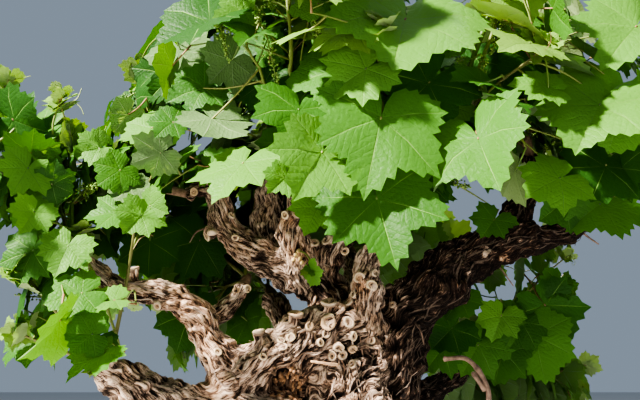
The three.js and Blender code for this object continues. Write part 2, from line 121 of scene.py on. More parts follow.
# Each limb has a foot, one or more bends and a tip, with its radius at the foot and at the tip.
LIMBS = {
    "left_bough": ([(20, -15, 468), (-91, -70, 428), (-204, -100, 366)], (50, 45)),
    "low_left_arm": ([(-40, -40, 268), (-172, -98, 316), (-284, -140, 324), (-374, -180, 364)], (44, 35)),
    "upper_left_arm": ([(-204, -98, 376), (-242, -110, 425), (-270, -120, 476), (-312, -130, 507)], (32, 23)),
    "outer_left_arm": ([(-300, -128, 503), (-349, -140, 513), (-386, -160, 514),
                        (-455, -180, 557)], (24, 13)),
    "left_spur_arm": ([(-262, -112, 464), (-229, -62, 491), (-203, -30, 530)], (17, 16)),
    "right_bough": ([(58, 0, 300), (95, 0, 395), (110, 0, 480), (168, 0, 556)], (42, 52)),
    "right_arm": ([(150, 0, 540), (242, 0, 604), (314, 0, 630), (388, 0, 638)], (54, 32)),
    "outer_right_arm": ([(372, 0, 637), (425, 0, 645), (475, 0, 672), (527, 0, 703)], (32, 15)),
    "right_riser": ([(318, 0, 648), (352, 0, 706), (373, 0, 763), (381, 0, 810)], (33, 17)),
    "centre_bough": ([(2, 35, 452), (-45, 20, 540), (-120, 0, 583)], (50, 46)),
    "crooked_arm": ([(-132, 0, 582), (-200, -20, 616), (-240, -30, 662), (-254, -30, 708)], (32, 24)),
    "crooked_head": ([(-254, -30, 698), (-268, -36, 728), (-290, -44, 730), (-318, -50, 718)], (22, 14)),
    "dark_head": ([(-136, 16, 590), (-162, 30, 660), (-155, 30, 740), (-148, 30, 779)], (36, 24)),
    "front_head": ([(-92, -20, 578), (-106, -50, 635), (-94, -52, 704)], (35, 24)),
    "short_head": ([(-52, 0, 572), (-26, -20, 616), (8, -22, 652)], (31, 18)),
    "middle_head": ([(34, -25, 455), (31, -50, 520), (32, -50, 567), (44, -52, 606)], (39, 22)),
    "back_left_arm": ([(-40, 60, 390), (-122, 200, 470), (-163, 280, 556)], (34, 25)),
    "back_right_arm": ([(70, 40, 310), (197, 150, 359), (290, 250, 412)], (30, 17)),
    "back_arm": ([(26, 50, 432), (36, 190, 540), (27, 340, 662)], (38, 24)),
}

# The pieces of bark, and the limbs that each one covers.
BARK_PIECES = {
    "trunk_bark": ["trunk"],
    "left_bark": ["left_bough", "low_left_arm", "upper_left_arm", "outer_left_arm", "left_spur_arm"],
    "right_bark": ["right_bough", "right_arm", "outer_right_arm", "right_riser"],
    "centre_bark": ["centre_bough", "crooked_arm", "crooked_head", "dark_head", "front_head", "short_head",
                    "middle_head"],
    "back_bark": ["back_left_arm", "back_right_arm", "back_arm"],
}

# Large stubs of old pruning: the limb, how far along it, the way it points, how far its end is from the
# limb's axis, and its radius.
STUBS = [
    ("left_bough", 0.2, (-0.2, -0.6, 0.75), 66, 15),
    ("left_bough", 0.3, (0.1, -1, 0.3), 64, 13),
    ("left_bough", 0.5, (-0.1, -0.5, 0.85), 62, 12),
    ("left_bough", 0.76, (-0.2, -0.4, 0.9), 58, 11),
    ("outer_left_arm", 0.45, (0, -0.2, 1), 38, 9),
    ("crooked_arm", 0.75, (-0.7, -0.3, -0.6), 46, 9),
    ("front_head", 0.55, (0.3, -0.8, 0.5), 48, 14),
    ("middle_head", 0.9, (0.8, -0.5, 0.3), 42, 9),
    ("right_arm", 0.5, (0.1, -0.6, 0.8), 66, 12),
]

# Small cut ends and burls on the side that is seen: x and z in the plane of the trunk's axis as seen from
# the front, and the radius of the cut.
SMALL_CUTS = [
    (-38, 477, 9.5), (-45, 453, 7), (-4, 471, 9.5), (2, 451, 8), (-24, 433, 8), (-16, 413, 8), (-35, 411, 7),
    (2, 427, 7), (40, 441, 7.5), (9, 395, 7), (-80, 462, 7), (-111, 445, 7), (-131, 436, 6), (27, 556, 9),
    (45, 541, 9), (47, 566, 7), (-71, 622, 10), (-35, 632, 10), (-69, 647, 9), (83, 535, 7),
    (-235, 684, 6), (-223, 643, 6), (-125, 426, 6), (-59, 436, 6), (-165, 410, 6), (7, 504, 7),
    (-94, 483, 6), (-248, 419, 6), (-337, 550, 7), (-365, 511, 7), (-451, 393, 8), (-425, 401, 7),
    (-122, 686, 7), (-83, 665, 6), (-201, 539, 7), (-219, 531, 6), (90, 506, 6),
    (15, 525, 6), (60, 592, 6), (-271, 637, 6), (-7, 616, 7), (-309, 737, 7),
]

# Places where the wood under the bark shows reddish, given in the same way.
WARM_PLACES = [
    (310, 604, 18), (337, 600, 18), (360, 608, 15), (-117, 359, 34), (-100, 372, 22), (-122, 686, 18),
    (223, 546, 18), (147, 566, 14), (23, 550, 22), (-95, 604, 18),
]

# Places on the arm darkened with painted crown shade where that shade is taken off again, in the same way:
# bare light wood, and painted patches of sunlight.
BARE_PLACES = [
    (278, 618, 11), (271, 609, 7), (310, 601, 10), (318, 594, 7), (348, 600, 9), (358, 612, 7), (238, 566, 8),
    (160, 574, 7), (153, 510, 7),
]

# Swellings where limbs join: the centre and the radius.
BURLS = [((-108, -42, 366), 34), ((-40, -52, 392), 38), ((66, -16, 336), 34), ((-150, -84, 352), 26)]

# Hollows in the old wood, darkened in colour with painted shade: x and z as for the cuts, the radius and the
# depth.
HOLLOWS = [
    (-51, 436, 10, 12), (-11, 426, 10, 12), (14, 445, 10, 12), (85, 517, 12, 14), (89, 475, 14, 16),
    (86, 432, 14, 16), (92, 386, 16, 18), (87, 347, 16, 18), (45, 403, 12, 14), (29, 379, 12, 16),
    (14, 356, 12, 16), (-78, 417, 10, 12), (-121, 368, 21, 24), (-187, 517, 10, 10), (-94, 517, 20, 12),
    (-51, 541, 20, 14), (-20, 552, 16, 14), (-6, 517, 12, 10), (-170, 592, 12, 10), (-36, 332, 12, 12),
    (-92, 336, 12, 12),
]

CANE_PATH = [(60, -40, 170), (190, -78, 262), (238, -80, 340), (206, -80, 402), (164, -80, 403)]
CANE_RADIUS = (8, 4.5)
CANE_STUB_PATH = [(232, -80, 350), (213, -80, 380)]

# Thin dead twigs: the path, the radius at the foot and at the tip, and 1 for the one that is pale.
DRY_TWIGS = [
    ([(452, 0, 668), (466, -2, 655), (481, -5, 640), (497, -8, 626)], (2.6, 1.4), 0),
    ([(-24, -108, 392), (-45, -128, 394), (-70, -138, 397)], (2.7, 2.1), 1),
    ([(300, 30, 600), (318, 20, 566), (330, 22, 548)], (2.0, 1.0), 0),
    ([(-268, -36, 655), (-292, -52, 640), (-303, -56, 619)], (2.4, 1.2), 0),
    ([(120, -46, 470), (128, -64, 452), (131, -72, 428)], (2.2, 1.2), 0),
]

# Each mass of foliage grows from the tip of its bough: the bough, the azimuth and rise of its aim, the
# spread of its shoots, their number and length, and how they lift.
MASSES = {
    "low_left_leaves": ("low_left_arm", (190, 50), 36, 5, 330, 0.2),
    "outer_left_leaves": ("outer_left_arm", (172, 40), 36, 5, 380, 0.1),
    "left_spur_leaves": ("left_spur_arm", (112, 28), 34, 4, 380, 0.2),
    "crooked_leaves": ("crooked_head", (186, 44), 34, 5, 430, 0.1),
    "dark_head_leaves": ("dark_head", (125, 72), 26, 5, 560, 0),
    "front_head_leaves": ("front_head", (238, 58), 26, 5, 500, 0.1),
    "short_head_leaves": ("short_head", (60, 80), 22, 3, 620, 0),
    "middle_head_leaves": ("middle_head", (292, 60), 30, 5, 440, 0.1),
    "riser_leaves": ("right_riser", (130, 72), 34, 4, 540, 0),
    "outer_right_leaves": ("outer_right_arm", (15, 66), 40, 5, 400, 0),
    "back_left_leaves": ("back_left_arm", (135, 38), 38, 4, 480, 0.2),
    "back_right_leaves": ("back_right_arm", (56, 30), 36, 4, 440, 0.1),
    "back_leaves": ("back_arm", (85, 58), 34, 4, 560, 0),
}

# Seen from this point, no leaf before the boughs hangs below the line, whose points are x and z in the
# plane of the trunk's axis.
SEEN_FROM = np.array([-55.0, -1200.0, 360.0])
SEEN_UPWARD = 16.7
FOCAL_LENGTH = 36 * 615 / 640
OPEN_LINE = np.array([
    (-470, 590), (-337, 592), (-336, 748), (-188, 741), (-24, 714), (-20, 592),
    (93, 592), (145, 647), (270, 709), (436, 741), (515, 720),
], float)

# Open sky in the same plane: nothing green stands above this line or inside these boxes, each of which
# is its least x and z and its greatest.
SKY_LINE = np.array([
    (-831, 972), (-742, 953), (-655, 944), (-601, 892), (-544, 870), (-506, 916), (-464, 962), (-446, 1059),
    (-443, 1135), (-375, 1176), (-358, 1271),
], float)
SKY_BOXES = [
    (208, 1074, 249, 1330), (272, 1114, 290, 1330), (455, 100, 1200, 690), (-1200, 100, -650, 645),
    (-430, 361, -345, 502), (-1200, 100, -480, 398), (-480, 100, -405, 366), (-121, 468, -82, 500),
    (-145, 527, -110, 554), (79, 548, 102, 584), (-314, 825, -291, 861), (-200, 861, -178, 911),
    (162, 494, 186, 515), (208, 479, 242, 500), (269, 506, 295, 523),
]

# Small windows of sky in the same plane, with their radii: no leaf of the crown closes the line of sight
# through these.
SKY_SPOTS = np.array([
    (13, 1176, 5), (73, 1176, 5), (125, 1176, 5), (-705, 845, 5), (-210, 897, 5), (-190, 874, 5),
    (-219, 737, 5), (-197, 709, 5), (-315, 840, 5), (-589, 674, 5), (-564, 682, 5), (327, 902, 5),
    (355, 902, 5), (588, 787, 5), (271, 519, 5), (295, 519, 5), (178, 1153, 5), (166, 1094, 5),
    (250, 488, 5), (-319, 911, 5), (-221, 1040, 5), (-61, 724, 5), (-643, 809, 5), (409, 937, 5),
    (-336, 560, 5), (311, 504, 5), (353, 791, 5), (-161, 888, 5), (-197, 825, 5), (-241, 1150, 5),
    (256, 774, 5), (125, 996, 5), (-217, 984, 5), (-615, 610, 5), (588, 842, 5), (271, 748, 5),
    (169, 498, 5), (-146, 1122, 5), (-556, 809, 5), (444, 811, 5), (227, 763, 5), (-480, 816, 5),
    (473, 1092, 5), (542, 1042, 5), (143, 879, 5), (94, 974, 5), (392, 670, 5), (-336, 620, 5),
    (-225, 590, 5), (232, 1127, 5), (243, 1077, 5), (-670, 604, 5), (172, 504, 11), (195, 479, 8),
    (246, 490, 15), (290, 511, 15), (317, 506, 14), (363, 564, 17), (300, 419, 9), (202, 397, 9),
    (403, 517, 8), (411, 584, 9), (383, 663, 10), (-203, 883, 16), (-210, 720, 16), (-314, 838, 13),
    (342, 902, 14), (-169, 564, 10), (-165, 506, 12), (-233, 1129, 13),
], float)

# Leaves that show on the near side: three numbers for the end of the stalk, three for the tip, how far the
# face turns from the viewer in degrees, and the green, from deep to young. The deep greens partly paint shade
# on leaves that stand in shade, and the light greens partly paint sunlight.
FRONT_LEAVES = [
    (72, -400, 882, 43, -470, 765, 0, 3), (9, -430, 782, -52, -430, 741, 40, 3),
    (28, -430, 708, 4, -450, 598, 0, 2), (107, -380, 788, 48, -390, 723, 15, 0),
    (158, -430, 678, 162, -480, 597, 10, 2), (273, -400, 768, 222, -400, 781, 60, 3),
    (354, -380, 752, 299, -410, 675, 15, 3), (399, -360, 769, 357, -390, 677, -15, 3),
    (426, -380, 882, 352, -410, 804, 20, 3), (22, -400, 603, 41, -430, 506, 0, 1),
    (137, -350, 767, 99, -360, 726, 20, 3), (205, -330, 922, 161, -330, 892, 150, 4),
    (155, -330, 858, 107, -330, 853, 60, 3), (293, -400, 900, 297, -430, 841, 62, 2),
    (237, -330, 665, 208, -340, 621, 160, 4), (375, -330, 676, 333, -360, 614, 0, 0),
    (395, -330, 671, 392, -350, 615, 10, 0), (282, -330, 849, 221, -350, 814, 20, 0),
    (291, -360, 645, 236, -380, 618, 30, 3), (160, -330, 681, 106, -350, 652, 120, 2),
    (-52, -420, 662, -86, -450, 590, 0, 3), (-102, -420, 625, -123, -430, 602, 10, 3),
    (-86, -380, 744, -93, -420, 678, 0, 1), (-164, -380, 661, -203, -420, 595, 55, 3),
    (-221, -330, 751, -165, -350, 704, 128, 1), (-288, -300, 759, -329, -310, 758, 40, 1),
    (-230, -330, 923, -317, -340, 878, 68, 0), (-177, -350, 927, -222, -360, 909, 30, 3),
    (-242, -300, 819, -298, -310, 798, 40, 1), (-302, -280, 870, -319, -290, 812, 120, 3),
    (-293, -270, 906, -261, -280, 851, 170, 1), (-199, -300, 870, -238, -310, 821, 165, 1),
    (-304, -300, 708, -347, -310, 685, 175, 1), (-330, -270, 762, -380, -280, 737, 60, 3),
    (-378, -250, 796, -399, -250, 763, 165, 1), (-421, -250, 735, -460, -260, 720, 20, 3),
    (-474, -240, 760, -473, -240, 721, 110, 4), (-527, -260, 722, -474, -270, 734, 30, 1),
    (-565, -260, 781, -505, -270, 753, 20, 0), (-508, -300, 682, -516, -320, 633, 0, 3),
    (-477, -280, 662, -441, -280, 681, 10, 0), (-365, -300, 679, -389, -320, 649, 10, 2),
    (-351, -290, 656, -332, -300, 620, 165, 1), (-475, -330, 603, -481, -350, 566, 0, 3),
    (-317, -330, 597, -336, -350, 565, 10, 3), (-308, -320, 615, -279, -330, 600, 10, 3),
    (-362, -300, 611, -412, -310, 602, 50, 2), (-423, -320, 554, -430, -340, 508, 20, 3),
    (-483, -300, 552, -496, -310, 497, 40, 1), (-391, -330, 484, -433, -350, 469, 35, 2),
    (-348, -320, 475, -387, -330, 470, 55, 3), (-405, -360, 443, -434, -390, 385, -64, 3),
    (-367, -340, 426, -407, -350, 428, 20, 2), (-379, -290, 424, -414, -290, 396, 10, 0),
    (-353, -340, 401, -388, -370, 371, 60, 2), (-299, 20, 641, -328, 10, 558, 10, 0),
    (-378, -60, 623, -373, -70, 550, 10, 0), (-308, 10, 495, -328, 0, 423, 10, 0),
    (-58, -330, 609, -76, -350, 565, 0, 3), (264, -110, 649, 234, -118, 613, 10, 1),
    (410, -220, 647, 336, -250, 595, 10, 2), (343, -230, 646, 301, -250, 613, -10, 1),
    (435, 60, 562, 405, 50, 528, 10, 1), (403, 60, 515, 448, 50, 445, 0, 0),
    (376, 60, 455, 380, 40, 365, 0, 2), (232, 60, 529, 199, 50, 490, 20, 1),
    (312, 60, 493, 287, 50, 443, 0, 3), (356, 70, 482, 314, 60, 426, 10, 1),
    (211, 60, 469, 163, 50, 425, 10, 0), (190, 60, 430, 149, 50, 383, 0, 1),
    (266, 80, 437, 227, 70, 378, 0, 2), (316, 80, 427, 289, 70, 359, 10, 1),
    (-58, -350, 942, -103, -350, 927, 50, 3),
]

# Shoots that show on the near side: each one's path, and its radius at the foot and at the tip. They grow
# from the nearest shoot below them.
FRONT_SHOOTS = [
    ([(77, -320, 781), (88, -330, 818), (99, -340, 863), (115, -345, 905), (128, -350, 938),
      (143, -350, 1001)], 4.2, 3.0),
    ([(161, -320, 771), (182, -335, 843), (197, -340, 879), (223, -345, 949), (239, -345, 1009)], 4.7, 3.4),
    ([(186, -330, 811), (214, -340, 883), (241, -345, 949), (259, -345, 1009)], 3.2, 2.4),
    ([(-501, -250, 731), (-500, -255, 779), (-494, -258, 807), (-494, -260, 826)], 2.4, 1.3),
    ([(-561, -255, 772), (-571, -258, 803), (-582, -260, 832), (-592, -262, 857)], 2.4, 1.3),
    ([(-371, -205, 409), (-387, -220, 465), (-402, -230, 506), (-432, -242, 568), (-435, -246, 593)],
     2.8, 1.4),
    ([(-126, -310, 772), (-141, -325, 806), (-151, -330, 840), (-167, -335, 862), (-173, -335, 884),
      (-176, -340, 934), (-181, -340, 994)], 2.7, 1.9),
    ([(-101, -315, 829), (-101, -325, 856), (-101, -330, 889), (-105, -335, 922), (-108, -340, 956),
      (-111, -340, 1001)], 3.6, 2.6),
    ([(-82, -320, 841), (-84, -325, 870), (-79, -330, 896), (-70, -335, 929), (-61, -338, 950)], 1.8, 1.3),
]

# Bunches of buds that hang on the near side: each one's stem, and how wide the bunch is.
FRONT_CLUSTERS = [
    ([(-169, -335, 864), (-188, -345, 890), (-209, -352, 904), (-206, -354, 874), (-194, -354, 836)], 9),
    ([(-173, -335, 884), (-156, -350, 905), (-142, -356, 891), (-132, -358, 851), (-119, -358, 793)], 12),
    ([(-105, -338, 939), (-129, -345, 949), (-147, -350, 934), (-153, -352, 907), (-155, -352, 879)], 9),
    ([(-70, -335, 929), (-65, -345, 926), (-61, -350, 905), (-61, -352, 861)], 8),
    ([(214, -340, 883), (227, -350, 923), (238, -356, 923), (226, -358, 889), (208, -358, 847)], 11),
    ([(177, -336, 832), (169, -345, 844), (160, -350, 838), (152, -352, 816), (146, -352, 786)], 7),
    ([(186, -336, 849), (195, -345, 855), (199, -350, 841), (195, -352, 820), (190, -352, 789)], 6),
    ([(219, -345, 934), (233, -352, 959), (244, -356, 952), (246, -358, 929), (242, -358, 896)], 7),
]
FRONT_TENDRILS = [
    [(223, -345, 945), (199, -348, 958), (173, -350, 945), (154, -350, 921), (136, -350, 912),
     (126, -350, 927), (126, -348, 943)],
    [(154, -350, 920), (163, -352, 915), (173, -354, 904)],
    [(-494, -258, 807), (-481, -258, 813), (-464, -258, 811), (-455, -258, 803), (-449, -258, 791)],
    [(-475, -258, 813), (-464, -258, 820), (-458, -258, 840)],
    [(-582, -260, 832), (-574, -260, 854), (-561, -260, 858), (-546, -260, 862)],
]

# A young sprout straight from the old wood: its stem, its leaves as in FRONT_LEAVES, and its buds.
SPROUT_STEM = [(-104, -40, 600), (-98, -66, 600), (-84, -84, 593), (-74, -94, 580), (-71, -100, 558)]
SPROUT_LEAVES = [
    (-71, -102, 556, -58, -112, 529, 50, 3), (-73, -100, 558, -91, -108, 548, 64, 4),
    (-70, -100, 559, -52, -108, 545, -60, 3),
]
SPROUT_BUDS = [(-100, -64, 594), (-92, -68, 586), (-104, -60, 586), (-95, -72, 600), (-88, -70, 578)]


class Draws:
    """Random draws that are the same every time."""

    def __init__(self, seed):
        self.state = seed

    def next(self):
        self.state = (self.state * 16807) % 2147483647
        return self.state / 2147483647

    def spread(self, reach):
        return (2 * self.next() - 1) * reach

    def between(self, low, high):
        return low + (high - low) * self.next()

    def around(self, *reaches):
        """A spot near zero, from one reach for all three ways or one for each."""
        return np.array([self.spread(reach) for reach in (reaches * 3)[:3]])


def warmed(seed):
    """Draws without the first one, which follows its seed closely."""
    draws = Draws(seed)
    draws.next()
    return draws


class Grain:
    """Smooth noise in three dimensions, from about -1 to 1."""

    def __init__(self, seed):
        source = np.random.RandomState(seed)
        self.order = np.tile(source.permutation(256), 3)
        ways = source.normal(size=(256, 3))
        self.ways = ways / norm(ways, axis=1)[:, None]

    def at(self, points):
        cell = np.floor(points).astype(np.int64)
        inner = points - cell
        cell &= 255
        fade = inner ** 3 * (inner * (inner * 6 - 15) + 10)
        total = np.zeros(len(points))
        for corner in np.ndindex(2, 2, 2):
            spot = cell + corner
            pick = self.order[self.order[self.order[spot[:, 0]] + spot[:, 1]] + spot[:, 2]]
            slope = ((inner - corner) * self.ways[pick]).sum(1)
            weight = np.where(corner, fade, 1 - fade).prod(1)
            total += weight * slope
        return total * 1.7


def unit(v):
    return v / norm(v)


def turn(v, axis, angle):
    """A vector turned about a unit axis."""
    return (v * cos(angle) + np.cross(axis, v) * sin(angle)
            + axis * np.dot(axis, v) * (1 - cos(angle)))


def direction(azimuth, rise):
    a, e = radians(azimuth), radians(rise)
    return np.array([cos(a) * cos(e), sin(a) * cos(e), sin(e)])


def square_to(d):
    helper = UP if abs(d[2]) < 0.9 else np.array([1.0, 0.0, 0.0])
    return unit(np.cross(helper, d))


def curve_points(path, shares):
    """Points at shares of the length of a smooth curve through a path."""
    path = np.array(path, float)
    last = len(path) - 1
    padded = np.vstack([2 * path[0] - path[1], path, 2 * path[-1] - path[-2]])

    def at(t):
        i = min(int(last * t), last - 1)
        w = last * t - i
        a, b, c, d = padded[i:i + 4]
        h0, h1, h2 = [norm(step) ** 0.5 for step in (b - a, c - b, d - c)]
        m1 = ((b - a) / h0 - (c - a) / (h0 + h1) + (c - b) / h1) * h1
        m2 = ((c - b) / h1 - (d - b) / (h1 + h2) + (d - c) / h2) * h1
        return b + m1 * w + (-3 * b + 3 * c - 2 * m1 - m2) * w * w + (2 * b - 2 * c + m1 + m2) * w ** 3

    times = np.linspace(0, 1, 201)
    fine = np.array([at(t) for t in times])
    run = run_along(fine)
    return np.array([at(t) for t in np.interp(np.array(shares) * run[-1], run, times)])


def smooth_path(path, count):
    return curve_points(path, np.linspace(0, 1, count))


def path_length(points):
    return float(norm(np.diff(points, axis=0), axis=1).sum())


def run_along(points):
    """How far along a path each of its points is."""
    return np.concatenate([[0], np.cumsum(norm(np.diff(points, axis=0), axis=1))])


def spots_at(marks, run, points):
    """The places at some marks along a path, whose points are as far along it as run says."""
    return np.stack([np.interp(marks, run, points[:, axis]) for axis in range(3)], axis=1)


def frames_along(points):
    """The direction of a path at each of its points, and one side that turns as little as it can."""
    last = len(points) - 1
    side = square_to(unit(points[1] - points[0]))
    alongs = []
    sides = []
    for i in range(len(points)):
        along = unit(points[min(i + 1, last)] - points[max(i - 1, 0)])
        side = unit(side - along * np.dot(side, along))
        alongs.append(along)
        sides.append(side)
    return np.array(alongs), np.array(sides)


# Meshes from arrays, for the many small things.

class Heap:
    """Many small closed shapes that are joined in one mesh."""

    def __init__(self):
        self.points, self.loops, self.sizes = [], [], []
        self.finishes, self.rims, self.places = [], [], []
        self.count = 0

    def add(self, points, faces, finish=0, rim=None, place=None):
        """Adds one shape. Its faces are corners in a row and the number of corners of each face. finish
        is one for all of them, or one for each, and edges between rim points stay sharp. place is where
        each point lies in the shape's own pattern."""
        loops, sizes = faces
        self.points.append(points)
        self.loops.append(loops + self.count)
        self.sizes.append(sizes)
        self.finishes.append(np.full(len(sizes), finish) if np.isscalar(finish) else finish)
        self.rims.append(np.zeros(len(points), bool) if rim is None else rim)
        if place is not None:
            self.places.append(place)
        self.count += len(points)

    def rod(self, points, radii, sides, finish=0):
        self.add(*rod_shape(points, radii, sides), finish)

    def build(self, name, finishes, smooth=True):
        points, loops, sizes, picks, rims = [
            np.concatenate(rows) for rows in (self.points, self.loops, self.sizes, self.finishes, self.rims)]
        mesh = mesh_from(name, points, loops, sizes)
        for finish in finishes:
            mesh.materials.append(finish)
        mesh.polygons.foreach_set("material_index", picks.astype(np.int32))
        mesh.polygons.foreach_set("use_smooth", np.full(len(sizes), smooth))
        if rims.any():
            ends = np.zeros(2 * len(mesh.edges), np.int32)
            mesh.edges.foreach_get("vertices", ends)
            mesh.edges.foreach_set("use_edge_sharp", rims[ends.reshape(-1, 2)].all(1))
        if self.places:
            store(mesh, "place", np.concatenate(self.places))
        mesh.update()
        return shown(name, mesh)


def store(mesh, name, values):
    """Keeps a number or a vector for each point of a mesh."""
    is_vector = values.ndim == 2
    layer = mesh.attributes.new(name, "FLOAT_VECTOR" if is_vector else "FLOAT", "POINT")
    layer.data.foreach_set("vector" if is_vector else "value", values.astype(np.float32).ravel())


def mesh_from(name, points, loops, sizes):
    """A mesh from points in millimetres and faces."""
    mesh = bpy.data.meshes.new(name)
    mesh.vertices.add(len(points))
    mesh.vertices.foreach_set("co", (points * MM).astype(np.float32).ravel())
    mesh.loops.add(len(loops))
    mesh.loops.foreach_set("vertex_index", loops.astype(np.int32))
    mesh.polygons.add(len(sizes))
    starts = np.concatenate([[0], np.cumsum(sizes)[:-1]])
    mesh.polygons.foreach_set("loop_start", starts.astype(np.int32))
    mesh.update(calc_edges=True)
    return mesh


def shown(name, data):
    """A mesh, light or camera as an object of the scene."""
    made = bpy.data.objects.new(name, data)
    bpy.context.scene.collection.objects.link(made)
    return made


def as_faces(rows):
    """Faces as their corners in a row and the number of corners of each."""
    return np.array([corner for row in rows for corner in row]), np.array([len(row) for row in rows])


def rod_shape(points, radii, sides):
    """A round tapering rod through points, drawn out to a blunt point at both ends."""
    points = np.asarray(points, float)
    radii = np.asarray(radii, float)
    alongs, across = frames_along(points)
    others = np.cross(alongs, across)
    angles = np.arange(sides) * 2 * pi / sides
    ring = across[:, None] * np.cos(angles)[None, :, None] + others[:, None] * np.sin(angles)[None, :, None]
    spots = points[:, None] + ring * radii[:, None, None]
    ends = [points[0] - alongs[0] * radii[0] * 0.3, points[-1] + alongs[-1] * radii[-1] * 0.5]
    return np.vstack([spots.reshape(-1, 3), ends]), rod_faces(len(points), sides)


@cache
def rod_faces(rings, sides):
    rows = []
    last = (rings - 1) * sides
    for k in range(sides):
        after = (k + 1) % sides
        for i in range(0, last, sides):
            rows.append((i + k, i + after, i + after + sides, i + k + sides))
        rows.append((after, k, rings * sides))
        rows.append((last + k, last + after, rings * sides + 1))
    return as_faces(rows)


def strip_shape(points, ups, widths, thick):
    """A thin flat strip through points, whose faces look along ups."""
    alongs, _ = frames_along(points)
    across = np.cross(alongs, ups)
    across /= norm(across, axis=1)[:, None]
    half = across * widths[:, None] / 2
    lift = ups * thick / 2
    spots = np.stack([points - half - lift, points + half - lift, points + half + lift, points - half + lift],
                     axis=1)
    rows = []
    last = 4 * (len(points) - 1)
    for i in range(0, last, 4):
        for k in range(4):
            after = (k + 1) % 4
            rows.append((i + k, i + after, i + after + 4, i + k + 4))
    rows.append((3, 2, 1, 0))
    rows.append((last, last + 1, last + 2, last + 3))
    return spots.reshape(-1, 3), as_faces(rows)


# Finishes.

class Finish:
    """A material. Its nodes are added one by one, each with its settings and with what feeds it."""

    def __init__(self, name, colour, roughness, specular=0.5):
        self.material = bpy.data.materials.new(name)
        self.material.use_nodes = True
        self.material.diffuse_color = (*colour, 1)
        self.nodes, self.links = self.material.node_tree.nodes, self.material.node_tree.links
        self.shader = self.nodes["Principled BSDF"]
        self.feed(self.shader, {"Base Color": (*colour, 1), "Roughness": roughness,
                                "Specular IOR Level": specular})

    def feed(self, node, inputs):
        """Gives inputs of a node, by name or number, a value or another node's output."""
        for socket, value in inputs.items():
            if isinstance(value, bpy.types.NodeSocket):
                self.links.new(value, node.inputs[socket])
            else:
                node.inputs[socket].default_value = value
        return node

    def add(self, kind, inputs, **settings):
        node = self.nodes.new("ShaderNode" + kind)
        for setting, value in settings.items():
            setattr(node, setting, value)
        return self.feed(node, inputs)

    def calc(self, operation, *values):
        return self.add("Math", dict(enumerate(values)), operation=operation).outputs["Value"]

    def field(self, name, output="Fac"):
        """What each point of the mesh keeps under a name."""
        return self.add("Attribute", {}, attribute_name=name).outputs[output]

    def noise(self, scale, detail, roughness=0.5, place=None):
        place = place or self.add("TexCoord", {}).outputs["Object"]
        return self.add("TexNoise", {"Vector": place, "Scale": scale, "Detail": detail,
                                     "Roughness": roughness}).outputs["Fac"]

    def ramp(self, level, steps):
        node = self.add("ValToRGB", {"Fac": level})
        marks = node.color_ramp.elements
        while len(marks) < len(steps):
            marks.new(0.5)
        for mark, (at, colour) in zip(marks, steps):
            mark.position = at
            mark.color = (*colour, 1)
        return node.outputs["Color"]

    def bump(self, height, depth, invert=False):
        """Fine relief, with its depth in millimetres."""
        made = self.add("Bump", {"Height": height, "Strength": 1, "Distance": depth * MM}, invert=invert)
        self.feed(self.shader, {"Normal": made.outputs["Normal"]})
        return made.outputs["Normal"]


def plain_finish(name, colour, roughness=0.5):
    return Finish(name, colour, roughness).material


def mottled_finish(name, dark, light, size, roughness=0.9, depth=0.8):
    """Wood whose colour goes from dark in its hollows to light on its ridges, in marks of the size given."""
    finish = Finish(name, light, roughness)
    marks = finish.noise(1000 / size, 5, 0.65)
    finish.feed(finish.shader, {"Base Color": finish.ramp(marks, [(0.30, dark), (0.62, light)])})
    finish.bump(marks, depth)
    return finish.material


def vein_relief(finish):
    """The height of a leaf's face by its own pattern: sunk main and side veins, and full fields between
    them."""
    calc = finish.calc
    parts = finish.add("SeparateXYZ", {"Vector": finish.field("place", "Vector")})
    x, y = parts.outputs["X"], parts.outputs["Y"]
    angle = calc("ARCTAN2", calc("ABSOLUTE", x), y)
    gaps = [calc("ABSOLUTE", calc("SUBTRACT", angle, radians(vein))) for vein in VEIN_ANGLES]
    gap = calc("MINIMUM", gaps[0], calc("MINIMUM", gaps[1], gaps[2]))
    reach = calc("SQRT", calc("ADD", calc("MULTIPLY", x, x), calc("MULTIPLY", y, y)))
    across = calc("MULTIPLY", reach, calc("SINE", gap))
    warp = calc("MULTIPLY", finish.noise(30, 1), VEIN_WARP)
    along = calc("ADD", calc("MULTIPLY", reach, calc("COSINE", gap)), warp)
    field = calc("PINGPONG", calc("SUBTRACT", along, calc("MULTIPLY", across, VEIN_SLOPE)), SIDE_VEIN_GAP / 2)
    main_vein = calc("MINIMUM", calc("DIVIDE", across, MAIN_VEIN_WIDTH), 1)
    side_vein = calc("MINIMUM", calc("DIVIDE", field, SIDE_VEIN_WIDTH), 1)
    swell = calc("SINE", calc("MULTIPLY", field, pi / SIDE_VEIN_GAP))
    sunk = calc("ADD", calc("MULTIPLY", main_vein, 0.24), calc("MULTIPLY", side_vein, 0.09))
    return calc("ADD", sunk, calc("MULTIPLY", swell, 0.11))


def leaf_finish(name, colour, through, roughness, glow, depth, raised=False):
    """A leaf's face with its veins, sunk above and raised below, which lets light through in its own
    colour."""
    finish = Finish(name, colour, roughness, 0.16)
    height = finish.calc("MULTIPLY_ADD", finish.noise(200, 2), 0.75, vein_relief(finish))
    normal = finish.bump(height, depth, raised)
    thin = finish.add("BsdfTranslucent", {"Color": (*through, 1), "Normal": normal})
    mix = finish.add("MixShader", {0: glow, 1: finish.shader.outputs["BSDF"], 2: thin.outputs["BSDF"]})
    finish.feed(finish.nodes["Material Output"], {"Surface": mix.outputs["Shader"]})
    return finish.material


